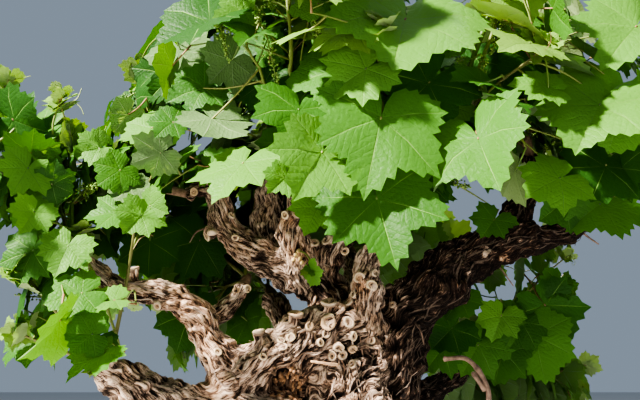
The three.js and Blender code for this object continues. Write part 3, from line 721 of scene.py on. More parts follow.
def bark_finish():
    """Fibrous old bark, coloured by the relief level, which holds painted light and shade: dark in the
    furrows, grey-brown on the strands, and fine fibres along the limb.
    """
    finish = Finish("old bark", (0.25, 0.18, 0.14), 0.9, 0.25)
    drawn = finish.add("Mapping", {"Vector": finish.field("grain", "Vector"), "Scale": (0.17, 1, 1)})
    fibres = finish.noise(0.50, 6, 0.74, drawn.outputs["Vector"])
    level = finish.calc("SUBTRACT", finish.calc("MULTIPLY_ADD", fibres, 2.1, finish.field("relief")), 1.035)
    grey = finish.ramp(level, [
        (0.0, (0.008, 0.005, 0.004)), (0.30, (0.050, 0.031, 0.022)), (0.47, (0.200, 0.135, 0.100)),
        (0.62, (0.540, 0.385, 0.290)), (0.92, (0.88, 0.70, 0.56)),
    ])
    red = finish.ramp(level, [
        (0.0, (0.010, 0.005, 0.004)), (0.30, (0.060, 0.032, 0.020)), (0.47, (0.240, 0.137, 0.086)),
        (0.62, (0.540, 0.315, 0.185)), (0.92, (0.85, 0.61, 0.43)),
    ])
    mix = finish.add("Mix", {"Factor": finish.field("warmth"), "A": grey, "B": red}, data_type="RGBA")
    finish.feed(finish.shader, {"Base Color": mix.outputs["Result"]})
    finish.bump(fibres, 4.2)
    return finish.material


# The wood: tubes along the limbs' curves, joined in one skin, with furrows that run along each limb.

def trunk_radius(share, angle):
    ats, radii = zip(*TRUNK_RADIUS)
    flare = 0.03 + 0.13 * np.maximum(0, 1 - share / 0.35) ** 2
    return np.interp(share, ats, radii) * (1 + flare * np.cos(TRUNK_LOBES * angle + 1.5 * share))


def limb_radius(radius, phase, share, angle):
    taper = radius[0] + (radius[1] - radius[0]) * share
    return taper * (1 + 0.05 * np.sin(2 * angle + 9 * share + phase) + 0.04 * np.sin(3 * angle - 7 * share))


def bent_cylinder(bm, sides, rings, place):
    """A closed cylinder, each of whose points is moved to place(ring, angle, reach from its axis)."""
    own = bmesh.new()
    bmesh.ops.create_cone(own, cap_ends=True, segments=sides, radius1=1, radius2=1, depth=1)
    upright = [edge for edge in own.edges if abs(edge.verts[0].co.z - edge.verts[1].co.z) > 0.5]
    bmesh.ops.subdivide_edges(own, edges=upright, cuts=rings - 1)
    for vert in own.verts:
        x, y, z = vert.co
        vert.co = Vector(place(round((z + 0.5) * rings), atan2(y, x), hypot(x, y))) * MM
    bmesh.ops.recalc_face_normals(own, faces=own.faces)
    mesh = bpy.data.meshes.new("tube")
    own.to_mesh(mesh)
    own.free()
    bm.from_mesh(mesh)
    bpy.data.meshes.remove(mesh)


def tube_along(bm, axis, sides, out):
    """A tube along an axis. How far each point of it is from the axis is out(ring, angle, reach)."""
    alongs, across = frames_along(axis)
    others = np.cross(alongs, across)

    def place(ring, angle, reach):
        far = out(ring, angle, reach)
        return axis[ring] + across[ring] * far * cos(angle) + others[ring] * far * sin(angle)

    bent_cylinder(bm, sides, len(axis) - 1, place)


def limb_tube(bm, path, radius, phase):
    rings = max(6, round(path_length(smooth_path(path, 30)) / RING_STEP))
    blunt = {rings: 0.7, rings - 1: 0.95}
    tube_along(bm, smooth_path(path, rings + 1), 24, lambda ring, angle, reach: (
        reach * limb_radius(radius, phase, ring / rings, angle) * blunt.get(ring, 1)))


def trunk_tube(bm):
    """The trunk, which goes on a little below the ground so that it can be cut flat there."""
    rings = 30
    axis = smooth_path(TRUNK_PATH, rings + 1)

    def place(ring, angle, reach):
        out = reach * trunk_radius(ring / rings, angle)
        sunk = 25 if ring == 0 else 0
        return axis[ring] + np.array([out * cos(angle), -out * sin(angle) * TRUNK_DEPTH, -sunk])

    bent_cylinder(bm, 40, rings, place)


def stub_tube(bm, foot, end, radius, flare):
    rings = 3
    axis = np.array([foot + (end - foot) * i / rings for i in range(rings + 1)])
    tube_along(bm, axis, 14, lambda ring, angle, reach: reach * radius * (1 + (flare - 1) * ring / rings))


def burl(bm, centre, radius):
    made = bmesh.ops.create_icosphere(bm, subdivisions=2, radius=radius * MM)["verts"]
    bmesh.ops.translate(bm, verts=made, vec=Vector(centre) * MM)


def remeshed(bm, voxel):
    """One skin round everything in the bmesh: its points in millimetres and its four-sided faces."""
    mesh = bpy.data.meshes.new("skin")
    bm.to_mesh(mesh)
    bm.free()
    lump = shown("skin", mesh)
    skin = lump.modifiers.new("skin", "REMESH")
    skin.mode = "VOXEL"
    skin.voxel_size = voxel * MM
    made = bpy.data.meshes.new_from_object(lump.evaluated_get(bpy.context.evaluated_depsgraph_get()))
    bpy.data.objects.remove(lump)
    bpy.data.meshes.remove(mesh)
    points = np.zeros(3 * len(made.vertices), np.float32)
    made.vertices.foreach_get("co", points)
    corners = np.zeros(len(made.loops), np.int32)
    made.loops.foreach_get("vertex_index", corners)
    bpy.data.meshes.remove(made)
    return points.reshape(-1, 3).astype(float) / MM, corners.reshape(-1, 4)


def edges_of(quads):
    pairs = np.concatenate([quads[:, [k, (k + 1) % 4]] for k in range(4)])
    return np.unique(np.sort(pairs, axis=1), axis=0)


def smoothed(points, quads, times):
    """Evens out a skin without making it thinner."""
    edges = edges_of(quads)
    count = np.bincount(edges.ravel(), minlength=len(points))[:, None]
    for k in range(2 * times):
        total = np.stack([
            np.bincount(edges[:, 0], points[edges[:, 1], axis], len(points))
            + np.bincount(edges[:, 1], points[edges[:, 0], axis], len(points)) for axis in range(3)], axis=1)
        points = points + (0.6 if k % 2 == 0 else -0.62) * (total / count - points)
    return points


def normals_of(points, quads):
    across = np.cross(points[quads[:, 2]] - points[quads[:, 0]], points[quads[:, 3]] - points[quads[:, 1]])
    total = np.stack([
        sum(np.bincount(quads[:, k], across[:, axis], len(points)) for k in range(4)) for axis in range(3)],
        axis=1)
    return total / np.maximum(norm(total, axis=1), 1e-9)[:, None]


class Course:
    """A limb's axis in small steps, which tells where a point lies along and round the limb."""

    STEP = 3.0

    def __init__(self, name, number):
        self.name = name
        path, radius = LIMBS.get(name, (TRUNK_PATH, None))
        count = round(path_length(smooth_path(path, 30)) / self.STEP)
        shares = np.linspace(0, 1, count + 1)
        self.axis = curve_points(path, shares)
        self.alongs, self.sides = frames_along(self.axis)
        self.others = np.cross(self.alongs, self.sides)
        self.run = shares * path_length(self.axis)
        if radius:
            self.radius = radius[0] + (radius[1] - radius[0]) * shares
        else:
            self.radius = trunk_radius(shares, pi / 2)
        draws = warmed(4001 + 977 * number)
        self.twist = (1 if draws.next() > 0.5 else -1) * draws.between(0.0035, 0.0075)
        self.start = 1000 * number

    def near(self, points, reach):
        low = self.axis.min(0) - self.radius.max() - reach
        high = self.axis.max(0) + self.radius.max() + reach
        return np.flatnonzero(((points > low) & (points < high)).all(1))

    def locate(self, points):
        """How far along each point is, its angle, the limb's radius there, and how far out of it it is."""
        gaps = (points ** 2).sum(1)[:, None] - 2 * points @ self.axis.T + (self.axis ** 2).sum(1)[None]
        pick = gaps.argmin(1)
        past = ((points - self.axis[pick]) * self.alongs[pick]).sum(1)
        inner = np.clip(past, -self.STEP, self.STEP)
        inner[(pick == 0) & (past < 0)] = 0
        inner[(pick == len(self.axis) - 1) & (past > 0)] = 0
        out = points - self.axis[pick] - self.alongs[pick] * inner[:, None]
        angle = np.arctan2((out * self.others[pick]).sum(1), (out * self.sides[pick]).sum(1))
        radius = self.radius[pick]
        return self.run[pick] + past, angle, radius, norm(out, axis=1) - radius


FLOW, FURROWS, STRANDS, FIBRES, FLAKES, LUMPS, SWELLS, WARMTH = [Grain(seed) for seed in range(11, 19)]


def along_limb(course, run, angle, radius):
    """Places in a straightened limb, where the grain runs along the first axis and sways about it."""
    out = radius[:, None] * np.stack([np.cos(angle), np.sin(angle)], axis=1)
    sway = FLOW.at(np.column_stack([course.start + run / 95, out / 55]))
    kink = SWELLS.at(np.column_stack([course.start + run / 34, out / 24]))
    slip = LUMPS.at(np.column_stack([course.start + run / 40, out / 20]))
    around = angle + course.twist * run + 0.46 * sway + 0.17 * kink
    return np.stack([course.start + run + 9 * slip, radius * np.cos(around), radius * np.sin(around)], axis=1)


def bark_relief(course, run, angle, radius):
    """The height of the bark over the smooth limb, and its colour level from 0 in a furrow to 1 on a strand,
    with painted shade in the furrows and cracks.
    """
    place = along_limb(course, run, angle, radius)
    stout = np.clip(radius / 42, 0.42, 1.15)
    furrows = FURROWS.at(place / FURROW_SIZE)
    strands = STRANDS.at(place / STRAND_SIZE)
    fibres = FIBRES.at(place / FIBRE_SIZE)
    flakes = np.clip(4.5 * FLAKES.at(place / FLAKE_SIZE), -1, 1)
    patchy = np.clip(0.62 + 1.1 * LUMPS.at(place / PATCH_SIZE), 0.1, 1.2)
    deep = np.exp(-(furrows / 0.11) ** 2) * patchy
    cracks = np.exp(-(strands / 0.17) ** 2)
    height = stout * (-4.3 * deep + 2.0 * np.abs(furrows) - 2.2 * cracks) + 2.0 * fibres + 1.6 * flakes
    # Painted shade: the colour is darker in the furrows and cracks; the fibres and flakes add the bark's own
    # lighter and darker tone.
    shade = 0.625 - 0.32 * deep - 0.27 * cracks + 0.30 * fibres + 0.13 * flakes
    return height, shade, place


def limb_fields(courses, points):
    """The two limbs that each point of the skin is nearest to, with its place on each."""
    excess = np.full((len(points), len(courses)), 1e6)
    fields = np.zeros((len(points), len(courses), 3), np.float32)
    for k, course in enumerate(courses):
        spots = course.near(points, 40)
        run, angle, radius, out = course.locate(points[spots])
        excess[spots, k] = out
        fields[spots, k] = np.stack([run, angle, radius], axis=1)
    order = np.argsort(excess, axis=1)[:, :2]
    rows = np.arange(len(points))
    first, second = order[:, 0], order[:, 1]
    behind = excess[rows, second] - excess[rows, first]
    share = 0.5 * np.exp(-np.clip(behind, 0, 200) / BLEND_REACH)
    return excess, fields, first, second, share


def crown_shade_share(points):
    """How far each point is in the painted crown shade, from 0 to 1: bark on the right and high up, whose
    colour is darkened to stand for the crown's shadow.
    """
    return np.clip((points[..., 0] - 66) / 55, 0, 1) * np.clip((points[..., 2] - 250) / 90, 0, 1)


def dress_wood(courses, points, quads, cuts):
    """Draws the bark's relief on the skin, except on the cut ends of stubs."""
    normals = normals_of(points, quads)
    excess, fields, first, second, share = limb_fields(courses, points)
    height = np.zeros(len(points))
    shade = np.zeros(len(points))
    grain = np.zeros((len(points), 3))
    for k, course in enumerate(courses):
        for pick, weight in ((first, 1 - share), (second, share)):
            spots = np.flatnonzero((pick == k) & (weight > 0.02))
            if len(spots) == 0:
                continue
            up, light, place = bark_relief(course, *fields[spots, k].astype(float).T)
            height[spots] += weight[spots] * up
            shade[spots] += weight[spots] * light
            if pick is first:
                grain[spots] = place
    stout = np.clip(fields[np.arange(len(points)), first, 2] / 42, 0.35, 1.0)
    lumps = 12.0 * LUMPS.at(points / 66) + 8.5 * SWELLS.at(points / 26) + 2.4 * FLOW.at(points / 12)
    bare = np.ones(len(points))
    for centre, way, radius in cuts:
        spots = np.flatnonzero((np.abs(points - centre) < 3 * radius + 8).all(1))
        past = (points[spots] - centre) @ way
        out = norm(points[spots] - centre - past[:, None] * way, axis=1)
        near = np.clip((past + 9) / 8, 0, 1) * np.clip((radius + 7 - out) / 5, 0, 1)
        bare[spots] = np.minimum(bare[spots], 1 - 0.85 * near)
    moved = points + normals * (bare * (height + stout * lumps))[:, None]
    # Painted light and shade: lighter where the wood faces up towards the key light, darker where it faces
    # away.
    key_facing = normals @ KEY_LIGHT_WAY
    shade += np.where(key_facing > 0, PAINTED_LIGHT_SIDE * key_facing, PAINTED_SHADE_SIDE * key_facing)
    # Painted shade under the crown, where the crown's shadow would fall.
    shade -= PAINTED_CROWN_SHADE * crown_shade_share(points)
    warmth = np.clip(0.16 + 0.7 * WARMTH.at(points / 90) + 0.5 * FLOW.at(points / 22), 0, 1)
    return moved, excess, grain, shade, warmth


def skin_tree(points, quads):
    triangles = np.concatenate([quads[:, [0, 1, 2]], quads[:, [0, 2, 3]]])
    return BVHTree.FromPolygons(points.tolist(), triangles.tolist())


def seen_on(tree, x, z):
    """The place and the outward way of the skin where it is seen from the front at x and z."""
    way = unit(np.array([x, 0.0, z]) - SEEN_FROM)
    spot, normal, _, _ = tree.ray_cast(Vector(SEEN_FROM), Vector(way))
    if spot is None:
        return None
    normal = np.array(normal)
    return np.array(spot), normal if normal @ way < 0 else -normal


def seen_places(tree, rows):
    """Rows of x, z and more, with the spot and outward way where each is seen in place of its x and z."""
    for x, z, *more in rows:
        found = seen_on(tree, x, z)
        if found is not None:
            yield *found, *more


def raise_wood(courses):
    """The limbs joined in one skin, with their stubs, burls and bark. Also gives where stubs were cut."""
    bm = bmesh.new()
    trunk_tube(bm)
    for phase, (name, (path, radius)) in enumerate(LIMBS.items()):
        limb_tube(bm, path, radius, phase)
    draws = Draws(5501)
    for course in courses[1:]:
        end = course.radius[-1]
        for _ in range(4):
            burl(bm, course.axis[-1] + draws.around(0.7 * end) - course.alongs[-1] * 0.3 * end,
                 end * draws.between(0.55, 0.8))
        for _ in range(int(course.run[-1] / 60)):
            k = int(draws.between(0.15, 0.95) * (len(course.axis) - 1))
            way = turn(course.sides[k], course.alongs[k], draws.between(*ANY_ANGLE))
            size = course.radius[k]
            burl(bm, course.axis[k] + way * size * 0.72, size * draws.between(0.36, 0.5))
    for centre, radius in BURLS:
        burl(bm, np.array(centre, float), radius)
    points, quads = remeshed(bm, ROUGH_VOXEL)
    points = smoothed(points, quads, 3)
    tree = skin_tree(points, quads)

    bm = bmesh.new()
    bm.from_mesh(mesh_from("rough", points, quads.ravel(), np.full(len(quads), 4)))
    cuts = []
    for name, at, way, reach, radius in STUBS:
        foot = curve_points(LIMBS[name][0], [at])[0]
        way = unit(np.array(way, float))
        stub_tube(bm, foot, foot + way * reach, radius, 1.08)
        cuts.append((foot + way * reach, way, radius * 1.08))
    for spot, normal, radius in seen_places(tree, SMALL_CUTS):
        way = unit(0.7 * normal + 0.3 * unit(SEEN_FROM - spot) + draws.around(0.38) + 0.15 * UP)
        reach = radius * draws.between(0.9, 1.7)
        stub_tube(bm, spot - normal * 1.4 * radius, spot + way * reach, radius * 1.05, 1.1)
        cuts.append((spot + way * reach, way, radius * 1.1))
    points, quads = remeshed(bm, FINE_VOXEL)
    points = smoothed(points, quads, 1)
    return points, quads, cuts, tree


def closed_part(name, points, quads, shade, grain, warmth):
    """One piece of the skin. The rims where it was parted from its neighbours are closed inside the wood."""
    used, inverse = np.unique(quads, return_inverse=True)
    mesh = mesh_from(name, points[used], inverse.ravel(), np.full(len(quads), 4))
    # The relief field is the bark's colour level, and it holds painted light and shade.
    for field, values in (("relief", shade), ("warmth", warmth), ("grain", grain)):
        store(mesh, field, values[used])
    bm = bmesh.new()
    bm.from_mesh(mesh)
    rims = [edge for edge in bm.edges if edge.is_boundary]
    if rims:
        filled = bmesh.ops.holes_fill(bm, edges=rims, sides=0)["faces"]
        bmesh.ops.poke(bm, faces=filled)
    if name == "trunk_bark":
        geometry = bm.verts[:] + bm.edges[:] + bm.faces[:]
        cut = bmesh.ops.bisect_plane(bm, geom=geometry, plane_co=(0, 0, 0), plane_no=(0, 0, 1),
                                     clear_inner=True)["geom_cut"]
        rims = [item for item in cut if isinstance(item, bmesh.types.BMEdge)]
        bmesh.ops.holes_fill(bm, edges=rims, sides=0)
    bmesh.ops.triangulate(bm, faces=[face for face in bm.faces if len(face.verts) > 4])
    for vert in bm.verts:
        vert.co.z = max(vert.co.z, 0.0)
    bm.to_mesh(mesh)
    bm.free()
    mesh.polygons.foreach_set("use_smooth", np.ones(len(mesh.polygons), bool))
    return shown(name, mesh)


def make_bark(courses, finish):
    """The bark in five pieces, and the whole skin as one tree of triangles to lay things on."""
    points, quads, cuts, tree = raise_wood(courses)
    points, excess, grain, shade, warmth = dress_wood(courses, points, quads, cuts)
    for spot, normal, radius, depth in seen_places(tree, HOLLOWS):
        near = np.exp(-(norm(points - spot, axis=1) / radius) ** 2)
        points = points - np.outer(near * depth, normal)
        # Painted shade: the hollows are darkened in colour.
        shade = shade - 0.55 * near
    # Painted crown shade taken off at the bare places: bare light wood, and painted patches of sunlight.
    for spot, _, radius in seen_places(tree, BARE_PLACES):
        gap = norm(points - spot, axis=1) + 5 * FLOW.at(points / 9)
        shade = shade + PAINTED_CROWN_SHADE * np.clip((radius - gap) / 3, 0, 1)
    shade = np.clip(shade, 0, 1)
    for spot, _, radius in seen_places(tree, WARM_PLACES):
        gap = norm(points - spot, axis=1)
        warmth = np.maximum(warmth, np.clip(1.7 - gap / radius, 0, 1))
    numbers = {course.name: k for k, course in enumerate(courses)}
    reach = np.stack([excess[:, [numbers[limb] for limb in limbs]].min(1) for limbs in BARK_PIECES.values()],
                     axis=1)
    owner = np.minimum(reach, 200)[quads].mean(1).argmin(1)
    pieces = {}
    for k, name in enumerate(BARK_PIECES):
        piece = closed_part(name, points, quads[owner == k], shade, grain, warmth)
        piece.data.materials.append(finish)
        pieces[name] = piece
    return pieces, cuts, skin_tree(points, quads)


def cut_face(radius, centre, way, draws):
    """The end of a pruned stub: a pale ring round a sunken middle, with a dark pith and perhaps a split."""
    sectors = 18
    side = turn(square_to(way), way, draws.between(*ANY_ANGLE))
    other = np.cross(way, side)
    levels = [(0.86, -8.0), (1.0, -4.2), (1.02, -1.2), (0.86, 0.9), (0.62, -0.4), (0.26, -1.8), (0.16, -3.0)]
    wave = draws.between(*ANY_ANGLE)
    angles = np.arange(sectors) * 2 * pi / sectors
    wobble = 1 + 0.09 * np.cos(2 * angles + wave) + 0.05 * np.array([draws.spread(1) for _ in range(sectors)])
    slant = draws.spread(0.22) * np.cos(angles) + draws.spread(0.22) * np.sin(angles)
    split = int(draws.between(0, 2.2 * sectors))
    spots = []
    for share, lift in levels:
        reach = radius * share * wobble
        rough = np.array([draws.spread(0.35) for _ in range(sectors)]) + slant * reach
        spots.append(centre + np.outer(reach * np.cos(angles), side) + np.outer(reach * np.sin(angles), other)
                     + np.outer(lift + rough, way))
    spots.append(np.array([centre - way * 4.6, centre - way * 9.0]))
    rows = []
    finishes = []
    last = len(levels) - 1
    tint = int(draws.between(0, 2.6))
    for k in range(sectors):
        after = (k + 1) % sectors
        for level in range(last):
            a, b = level * sectors + k, level * sectors + after
            rows.append((a, b, b + sectors, a + sectors))
            dark = k == split and level in (3, 4)
            finishes.append(3 if dark else (4, 5, tint, tint, 6, 3)[level])
        rows.append((last * sectors + k, last * sectors + after, (last + 1) * sectors))
        finishes.append(3)
        rows.append((after, k, (last + 1) * sectors + 1))
        finishes.append(4)
    return np.vstack(spots), as_faces(rows), np.array(finishes)


def make_cut_faces(cuts):
    draws = Draws(6101)
    heap = Heap()
    for centre, way, radius in cuts:
        spots, faces, finishes = cut_face(radius * 1.02, centre + way * 1.4, way, draws)
        # Painted shade: cut ends under the crown take the darker rim wood in place of the pale cut wood.
        if crown_shade_share(centre) > 0.2:
            finishes = np.where(finishes < 3, 5, finishes)
        heap.add(spots, faces, finishes)
    return heap.build("pruning_cuts", [mottled_finish(*row) for row in (
        ("pale cut wood", (0.52, 0.38, 0.235), (0.78, 0.62, 0.42), 6, 0.8),
        ("weathered cut wood", (0.40, 0.295, 0.20), (0.66, 0.52, 0.38), 6),
        ("tan cut wood", (0.43, 0.28, 0.165), (0.68, 0.48, 0.30), 6),
        ("split wood", (0.030, 0.018, 0.012), (0.09, 0.055, 0.035), 4),
        ("bark rim", (0.13, 0.085, 0.06), (0.36, 0.26, 0.19), 7),
        ("worn rim", (0.19, 0.13, 0.09), (0.46, 0.35, 0.26), 7),
        ("cut wood within", (0.24, 0.145, 0.085), (0.50, 0.345, 0.215), 5),
    )])


def make_shreds(courses, tree):
    """Strips of bark that have come away at one or both ends."""
    draws = Draws(7001)
    heap = Heap()
    weights = np.array([course.run[-1] * course.radius.mean() for course in courses])
    shares = np.cumsum(weights / weights.sum())
    for _ in range(SHREDS):
        course = courses[int(np.searchsorted(shares, draws.next()))]
        length = draws.between(12, 58)
        start = draws.between(0.02, 0.98) * course.run[-1]
        angle = draws.between(0, 2 * pi)
        width = draws.between(1.2, 3.8)
        lift = draws.between(0.6, 4.6)
        both = draws.next() > 0.5
        spots, ups = [], []
        for share in SHRED_SHARES:
            run = start + length * (share - 0.5)
            k = int(np.clip(run / course.run[-1], 0, 1) * (len(course.axis) - 1))
            sway = 0.22 * sin(run / 23 + start)
            out = turn(course.sides[k], course.alongs[k], angle - course.twist * run + sway)
            centre = course.axis[k] + course.alongs[k] * np.clip(run - course.run[k], -4, 4)
            far = course.radius[k] * 1.5 + 26
            spot, _, _, gap = tree.ray_cast(Vector(centre + out * far), Vector(-out))
            if spot is None or gap > far:
                break
            curl = max(0, share - 0.5) ** 2 + (max(0, 0.5 - share) ** 2 if both else 0)
            spots.append(np.array(spot) + out * (0.5 + 4 * lift * curl))
            ups.append(out)
        if len(spots) < len(SHRED_SHARES):
            continue
        spots = np.array(spots)
        steps = norm(np.diff(spots, axis=0), axis=1)
        if steps.max() > 2.4 * length / len(SHRED_SHARES) + 3 or spots[:, 2].min() < GROUND_CLEARANCE:
            continue
        tint = int(draws.between(0, 4))
        # Painted shade: shreds under the crown take a dark finish.
        heap.add(*strip_shape(spots, np.array(ups), width * SHRED_WIDTHS, 1.0),
                 4 if crown_shade_share(spots[0]) > 0.35 else tint)
    return heap.build("bark_shreds", [mottled_finish(*row) for row in (
        ("grey shred", (0.19, 0.135, 0.105), (0.42, 0.32, 0.255), 9),
        ("pale shred", (0.27, 0.20, 0.155), (0.50, 0.395, 0.32), 9),
        ("brown shred", (0.12, 0.08, 0.057), (0.30, 0.21, 0.155), 9),
        ("reddish shred", (0.20, 0.115, 0.075), (0.43, 0.27, 0.185), 9),
        ("shade-painted shred", (0.035, 0.023, 0.017), (0.13, 0.09, 0.065), 9),
    )], smooth=False)


def make_burr_knots(tree):
    """Short woody nubs and root-like growths in the hollow under the left bough."""
    draws = Draws(7207)
    heap = Heap()
    for _ in range(BURR_KNOTS):
        found = seen_on(tree, -117 + draws.spread(27), 362 + draws.spread(29))
        lean = draws.around(0.6)
        size = draws.between(1.6, 3.6)
        length = size * draws.between(1.2, 4.0)
        tint = int(draws.between(0, 2.999))
        if found is None:
            continue
        spot, normal = found
        way = unit(normal + lean - UP * 0.5)
        points = [spot - way * 2, spot + way * length * 0.4, spot + way * length * 0.8 - UP * size * 0.3,
                  spot + way * length - UP * size * 0.8]
        heap.rod(points, size * np.array([1.15, 0.95, 1.0, 0.55]), 7, tint)
    for spot in np.array(SPROUT_BUDS, float):
        points = [spot + (0, 8, 0), spot, spot - (1, 4, 2), spot - (2, 8, 5)]
        heap.rod(points, [3.2, 4.0, 3.4, 1.4], 7, 3)
    return heap.build("burr_knots", [mottled_finish(*row) for row in (
        ("brown burr knot", (0.15, 0.08, 0.042), (0.36, 0.21, 0.12), 5),
        ("orange burr knot", (0.27, 0.13, 0.06), (0.52, 0.30, 0.155), 5),
        ("dark burr knot", (0.06, 0.035, 0.022), (0.19, 0.115, 0.07), 5),
        ("tan bud", (0.46, 0.32, 0.12), (0.72, 0.56, 0.28), 5),
    )])


def make_dead_cane(finish):
    """The bare dead cane with its swollen nodes, and the stub on it."""
    heap = Heap()
    points = smooth_path(CANE_PATH, 60)
    run = np.linspace(0, path_length(points), len(points))
    nodes = np.exp(-(((run % 68) - 34) / 5.0) ** 2)
    radii = np.interp(run, (0, run[-1]), CANE_RADIUS) * (0.86 + 0.34 * nodes)
    heap.rod(points, radii, 12)
    stub = smooth_path(CANE_STUB_PATH, 8)
    heap.rod(stub, [5.2, 5.0, 4.4, 4.2, 4.2, 4.4, 4.8, 4.0], 10)
    return heap.build("dead_cane_wood", [finish])


def make_dry_twigs(finish):
    """Thin dead twigs that stand out of the old wood."""
    heap = Heap()
    for path, (foot, tip), kind in DRY_TWIGS:
        radii = np.linspace(foot, tip, 12) * (1 + 0.12 * np.cos(np.arange(12) * 2.1))
        heap.rod(smooth_path(path, 12), radii, 7, kind)
    pale = mottled_finish("pale stick", (0.50, 0.27, 0.14), (0.80, 0.53, 0.34), 9, 0.7, 0.4)
    return heap.build("dry_twigs", [finish, pale])


# The foliage: the same shoots and leaves as the solid part's masses, by the same rule, and finer twigs,
# leaves, clusters and tendrils that grow on from them.

def wood_balls():
    """The wood as balls along every limb, which the shoots and leaves stay clear of."""
    centres = []
    radii = []
    steps = np.linspace(0, 1, 21)
    for path, (foot, tip) in [*LIMBS.values(), (TRUNK_PATH, (125, 60))]:
        centres.append(curve_points(path, steps))
        radii.append(1.09 * (foot + (tip - foot) * steps))
    return np.concatenate(centres), np.concatenate(radii)


def distances(points, starts, ends):
    """From each point to each of the lines from starts to ends."""
    way = ends - starts
    share = ((points[:, None] - starts) * way).sum(2) / np.maximum((way ** 2).sum(1), 1e-9)
    near = starts + np.clip(share, 0, 1)[:, :, None] * way
    return norm(points[:, None] - near, axis=2)


def clear_of_wood(points, balls, clearance):
    centres, radii = balls
    gaps = norm(points[:, None] - centres, axis=2)
    return bool((gaps > radii + clearance).all())


# A mass's stem and shoots, and a place on a shoot where a leaf may stand.
Plan = namedtuple("Plan", "tip stem_way top foot shoots drawn")
Node = namedtuple("Node", "own shoot share number leaf spot along side")


def shoot_points(foot, way, length, lift, draws):
    length = length * (0.85 + 0.3 * draws.next())
    count = round(length / SHOOT_STEP)
    points = [foot]
    for i in range(1, count + 1):
        share = i / count
        step = way + UP * (lift * share - 0.35 * share * share)
        points.append(points[-1] + unit(step + draws.around(0.1, 0.1, 0.06)) * length / count)
    return points


def plan_shoots(own, mass, balls, earlier):
    """The stem and shoots of one mass, which go as far as they stay clear of the wood and of other masses."""
    bough, aim_angles, spread, count, length, lift = mass
    before, tip = np.array(LIMBS[bough][0][-2:], float)
    aim = direction(*aim_angles)
    stem_way = unit(unit(tip - before) + aim)
    top = tip + stem_way * STEM_LENGTH
    draws = Draws(7919 * (own + 3))
    side = square_to(aim)
    other = np.cross(aim, side)
    start = 360 * draws.next()
    shoots = []
    for k in range(count):
        roll = radians(start + 360 * k / count + draws.spread(15))
        lean = radians(spread * (0.8 + 0.4 * draws.next()))
        way = aim * cos(lean) + (side * cos(roll) + other * sin(roll)) * sin(lean)
        foot = tip + (top - tip) * (0.45 + 0.5 * k / (count - 1))
        points = shoot_points(foot, way, length, lift, draws)
        stop = 2
        while stop < len(points) and clear_of_wood(points[stop][None], balls, SHOOT_CLEARANCE) and not any(
                distances(points[stop][None], shoot[:-1], shoot[1:]).min() < 2 * SHOOT_CLEARANCE
                for plan in earlier for shoot in plan.shoots):
            stop += 1
        if stop > 2:
            shoots.append(np.array(points[:stop]))
    drawn = [below_sky(points) for points in shoots]
    return Plan(tip, stem_way, top, LIMBS[bough][1][1] * 0.62, shoots, drawn)


def below_sky(points):
    """A shoot up to where it would be seen before the open sky."""
    marks = np.linspace(0, len(points) - 1, 24 * (len(points) - 1) + 1)
    spots = spots_at(marks, np.arange(len(points)), points)
    over = np.flatnonzero(in_sky(spots))
    if len(over) == 0:
        return points
    last = max(4, over[0] - 1)
    whole = int(marks[last])
    kept = points[:whole + 1]
    return np.vstack([kept, spots[last]]) if marks[last] > whole else kept


def in_plane(points):
    """Where points are seen in the plane of the trunk's axis: x and z."""
    scale = -SEEN_FROM[1] / (points[:, 1] - SEEN_FROM[1])
    flat = (points - SEEN_FROM) * scale[:, None] + SEEN_FROM
    return flat[:, 0], flat[:, 2]


def hides_wood(points):
    """Whether any point stands in front of the boughs where the old wood shows."""
    front = points[points[:, 1] <= 0]
    if len(front) == 0:
        return False
    x, z = in_plane(front)
    inside = (x >= OPEN_LINE[0, 0]) & (x < OPEN_LINE[-1, 0])
    return bool((inside & (z < np.interp(x, OPEN_LINE[:, 0], OPEN_LINE[:, 1]))).any())


def in_sky(points):
    """Which points are seen before the open sky."""
    x, z = in_plane(points)
    found = (x < SKY_LINE[-1, 0]) & (z > np.interp(x, SKY_LINE[:, 0], SKY_LINE[:, 1]))
    for low_x, low_z, high_x, high_z in SKY_BOXES:
        found |= (x > low_x) & (x < high_x) & (z > low_z) & (z < high_z)
    return found


# The five corners of a plain leaf: across, along and, by its cup and droop, above.
CORNERS = np.array([(-0.5, -0.22), (-0.6, 0.42), (0.0, 1.0), (0.6, 0.42), (0.5, -0.22)])
LEAF_THICK = 3.4


class Leaf:
    """A leaf that hangs from the end of its stalk with its face turned to the light, or along a given way."""

    def __init__(self, node, stalk, face, size, cup, droop, along=None):
        if along is None:
            across = np.cross(unit(stalk), face)
            if norm(across) < 0.05:
                across = square_to(face)
            across = unit(across)
            along = unit(np.cross(face, across))
            if along[2] > 0.25:
                along, across = -along, -across
        else:
            across = np.cross(along, face)
        self.node = node
        self.end = node + stalk
        self.across, self.along, self.face = across, along, face
        self.size, self.cup, self.droop = size, cup, droop
        self.tint = None
        lift = np.array([0.6 * cup, cup, -droop, cup, 0.6 * cup])
        self.outline = self.place(CORNERS[:, 0], CORNERS[:, 1], lift)
        self.middle = self.place(np.zeros(1), np.array([0.3]), np.array([LEAF_THICK / 2 / LEAF_LENGTH]))[0]
        self.reach = norm(self.outline[2] - self.middle) * DISC_SHARE
        starts = [*self.outline, self.node, *[self.middle] * 5]
        ends = [*np.roll(self.outline, -1, axis=0), self.end, *self.outline]
        self.lines = np.array(starts), np.array(ends)

    def place(self, x, y, z):
        length = LEAF_LENGTH * self.size
        return (self.end + np.outer(x, self.across) * length + np.outer(y, self.along) * length
                + np.outer(z, self.face) * length)

    def probes(self):
        middles = (self.outline + np.roll(self.outline, -1, axis=0)) / 2
        return np.vstack([self.end, self.outline, middles, self.middle])


